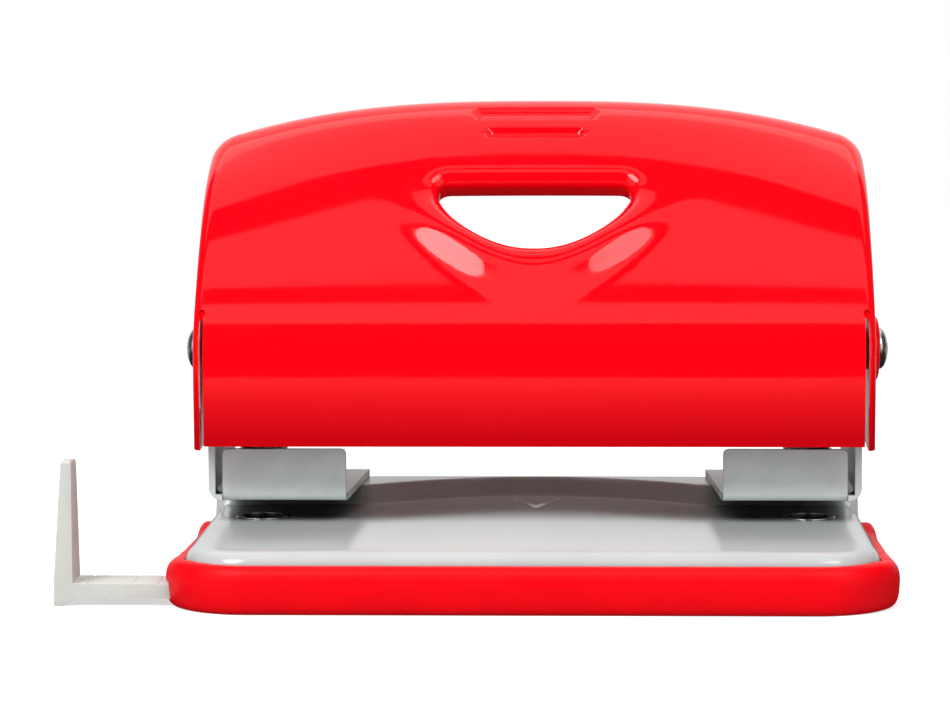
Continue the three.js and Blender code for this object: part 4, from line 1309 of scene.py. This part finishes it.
heel_top = guide_bottom + heel_overlap
heel_outline = [
    (stop_left, 0.0), (stop_left + heel_foot, 0.0),
    (stop_left + heel_length, heel_top), (stop_left, heel_top),
]
heel = make_piece("heel", *prism(heel_outline, "y", guide_front, guide_front + heel_width))
shape_with(guide, heel, "UNION")
for x in line_places:
    line = make_piece("line", *block(
        x - line_width / 2, x + line_width / 2, guide_front - trim_past, guide_back + trim_past,
        guide_top - line_depth, guide_top + trim_past,
    ))
    shape_with(guide, line, "DIFFERENCE")
round_edges(guide, guide_edge_round, steps=3, above=50)
guide_plastic = finish(
    "light_grey_guide_plastic",
    colour=screen_colour(208, 209, 203), mottle=screen_colour(202, 203, 197), patch=5,
    worn=screen_colour(232, 232, 227), wear=0.15,
    roughness=0.48, spread=0.05, grain=0.3, depth=0.008, ior=1.4,
)
fit(guide, "guide", guide_plastic, "paper_guide")

# Studio. A pale floor that sweeps up into a white wall far behind the object, soft lamps above and in front
# of it, and the camera at the height and distance that the photograph was taken from.
floor_half_width = 1200
floor_front = -255
sweep_start = 900
sweep_radius = 400
wall_top = 2600
floor_grey = 0.42
seen_grey = 0.6
wall_grey = 0.9
# Painted reflection: to glossy rays the floor has a tone of its own, painted dark close to the object and
# pale further off, front and back, and that is what the object's gloss shows.
mirror_dark = 84.0
mirror_light = 195.0
mirror_shade = 0.02
mirror_tone = 0.6
mirrored_glow = 0.8
# To the camera the floor glows a little, so that it is white and keeps the shadow, and more further off.
seen_lift = 0.62
shadow_end = 280.0
plain_white_start = 540.0
air_glow = 0.07


def grey(tone):
    return (tone, tone, tone, 1)


def backdrop_sheet(name, line, material):
    """A sheet as wide as the studio, drawn along a line of (depth, height)."""
    points = [(x, y, z) for y, z in line for x in (-floor_half_width, floor_half_width)]
    faces = [(2 * i, 2 * i + 1, 2 * i + 3, 2 * i + 2) for i in range(len(line) - 1)]
    piece = make_piece(name, points, faces)
    piece.data.materials.append(material)
    return piece


matt = {"Roughness": 0.9, "Specular IOR Level": 0.0}
floor_white, tree, surface = new_material("floor_white", matt)
seen = add_node(tree, "LightPath", {}).outputs
place = add_node(tree, "NewGeometry", {}).outputs["Position"]
depth = add_node(tree, "SeparateXYZ", {"Vector": place}).outputs["Y"]
painted_reflection_share = between(tree, work_out(tree, "ABSOLUTE", depth), mirror_dark * metres, mirror_light * metres)
painted_reflection_tone = blend(tree, painted_reflection_share, grey(mirror_shade), grey(mirror_tone))
tone = blend(tree, seen["Is Glossy Ray"], grey(floor_grey), painted_reflection_tone)
distance = add_node(tree, "VectorMath", {0: place}, operation="LENGTH").outputs["Value"]
near, far = shadow_end * metres, plain_white_start * metres
whiter = between(tree, distance, near, far, seen_lift, 1.0, interpolation_type="SMOOTHSTEP")
fill_sockets(tree, surface, {
    "Base Color": blend(tree, seen["Is Camera Ray"], tone, grey(seen_grey)),
    "Emission Color": grey(1),
    "Emission Strength": work_out(tree, "MULTIPLY", seen["Is Camera Ray"], whiter),
})
floor = backdrop_sheet("studio_floor", [(floor_front, 0.0), (sweep_start, 0.0)], floor_white)

wall_white, tree, surface = new_material("wall_white", {"Base Color": grey(wall_grey), **matt})
seen = add_node(tree, "LightPath", {}).outputs
directly_seen = work_out(tree, "MAXIMUM", seen["Is Camera Ray"], seen["Is Glossy Ray"])
glow = work_out(tree, "MULTIPLY_ADD", seen["Is Glossy Ray"], mirrored_glow - 1, 1.0)
lit_or_glowing = add_node(tree, "MixShader", {
    0: work_out(tree, "MAXIMUM", directly_seen, seen["Is Transmission Ray"]),
    1: surface.outputs["BSDF"],
    2: add_node(tree, "Emission", {"Color": grey(1), "Strength": glow}).outputs["Emission"],
})
fill_sockets(tree, tree.nodes["Material Output"], {"Surface": lit_or_glowing.outputs["Shader"]})
sweep = [(y, z + sweep_radius) for y, z in arc(sweep_start, 0, sweep_radius, -90, 0, 16)]
wall = backdrop_sheet("studio_wall", sweep + [(sweep_start + sweep_radius, wall_top)], wall_white)


def softbox(name, place, aim, width, height, strength, outline="RECTANGLE"):
    """A soft lamp at a place, facing another, with its sizes in millimetres and its strength as radiance."""
    lamp = bpy.data.lights.new(name, "AREA")
    lamp.shape = outline
    lamp.size = width * metres
    lamp.size_y = height * metres
    filled = math.pi / 4 if outline == "ELLIPSE" else 1.0
    lamp.energy = strength * math.pi * width * height * filled * metres * metres
    holder = bpy.data.objects.new(name, lamp)
    bpy.context.scene.collection.objects.link(holder)
    holder.location = Vector(place) * metres
    holder.rotation_mode = "QUATERNION"
    holder.rotation_quaternion = (Vector(aim) - Vector(place)).to_track_quat("-Z", "Y")


softbox("bend_softbox", (0, -425, 650), (0, -12, 40), 1000, 186, 1.3)
softbox("front_softbox", (0, -169, 640), (0, 0, 40), 1000, 126, 1.1)
softbox("top_softbox", (0, 252, 650), (0, 252, 40), 1000, 514, 1.05)
for (side, hand), strength in zip(sides, (6.6, 14.0)):
    softbox(f"{hand}_key_softbox", (side * 378, -530, 685), (0, -8, 45), 450, 370, strength, "ELLIPSE")
    softbox(f"{hand}_fill_softbox", (side * 700, -650, 330), (0, 0, 30), 800, 600, 1.1)

sky = bpy.data.worlds.new("studio_air")
bpy.context.scene.world = sky
sky.use_nodes = True
seen = add_node(sky.node_tree, "LightPath", {}).outputs
fill_sockets(sky.node_tree, sky.node_tree.nodes["Background"], {
    "Color": grey(1),
    "Strength": work_out(sky.node_tree, "MULTIPLY_ADD", seen["Is Camera Ray"], 1 - air_glow, air_glow),
})

camera_place = (8.1, -500.0, 79.1)
camera_turn = (math.pi / 2 - 0.0959, 0.0031, 0.0333)
focal_pixels = 3443
frame_width = 950
sensor_width = 36.0
lens = bpy.data.cameras.new("camera")
lens.sensor_width = sensor_width
lens.lens = focal_pixels / frame_width * sensor_width
lens.clip_start = 0.01
lens.clip_end = 20
camera = bpy.data.objects.new("camera", lens)
bpy.context.scene.collection.objects.link(camera)
camera.location = Vector(camera_place) * metres
camera.rotation_euler = camera_turn
bpy.context.scene.camera = camera
bpy.context.scene.view_settings.view_transform = "Standard"
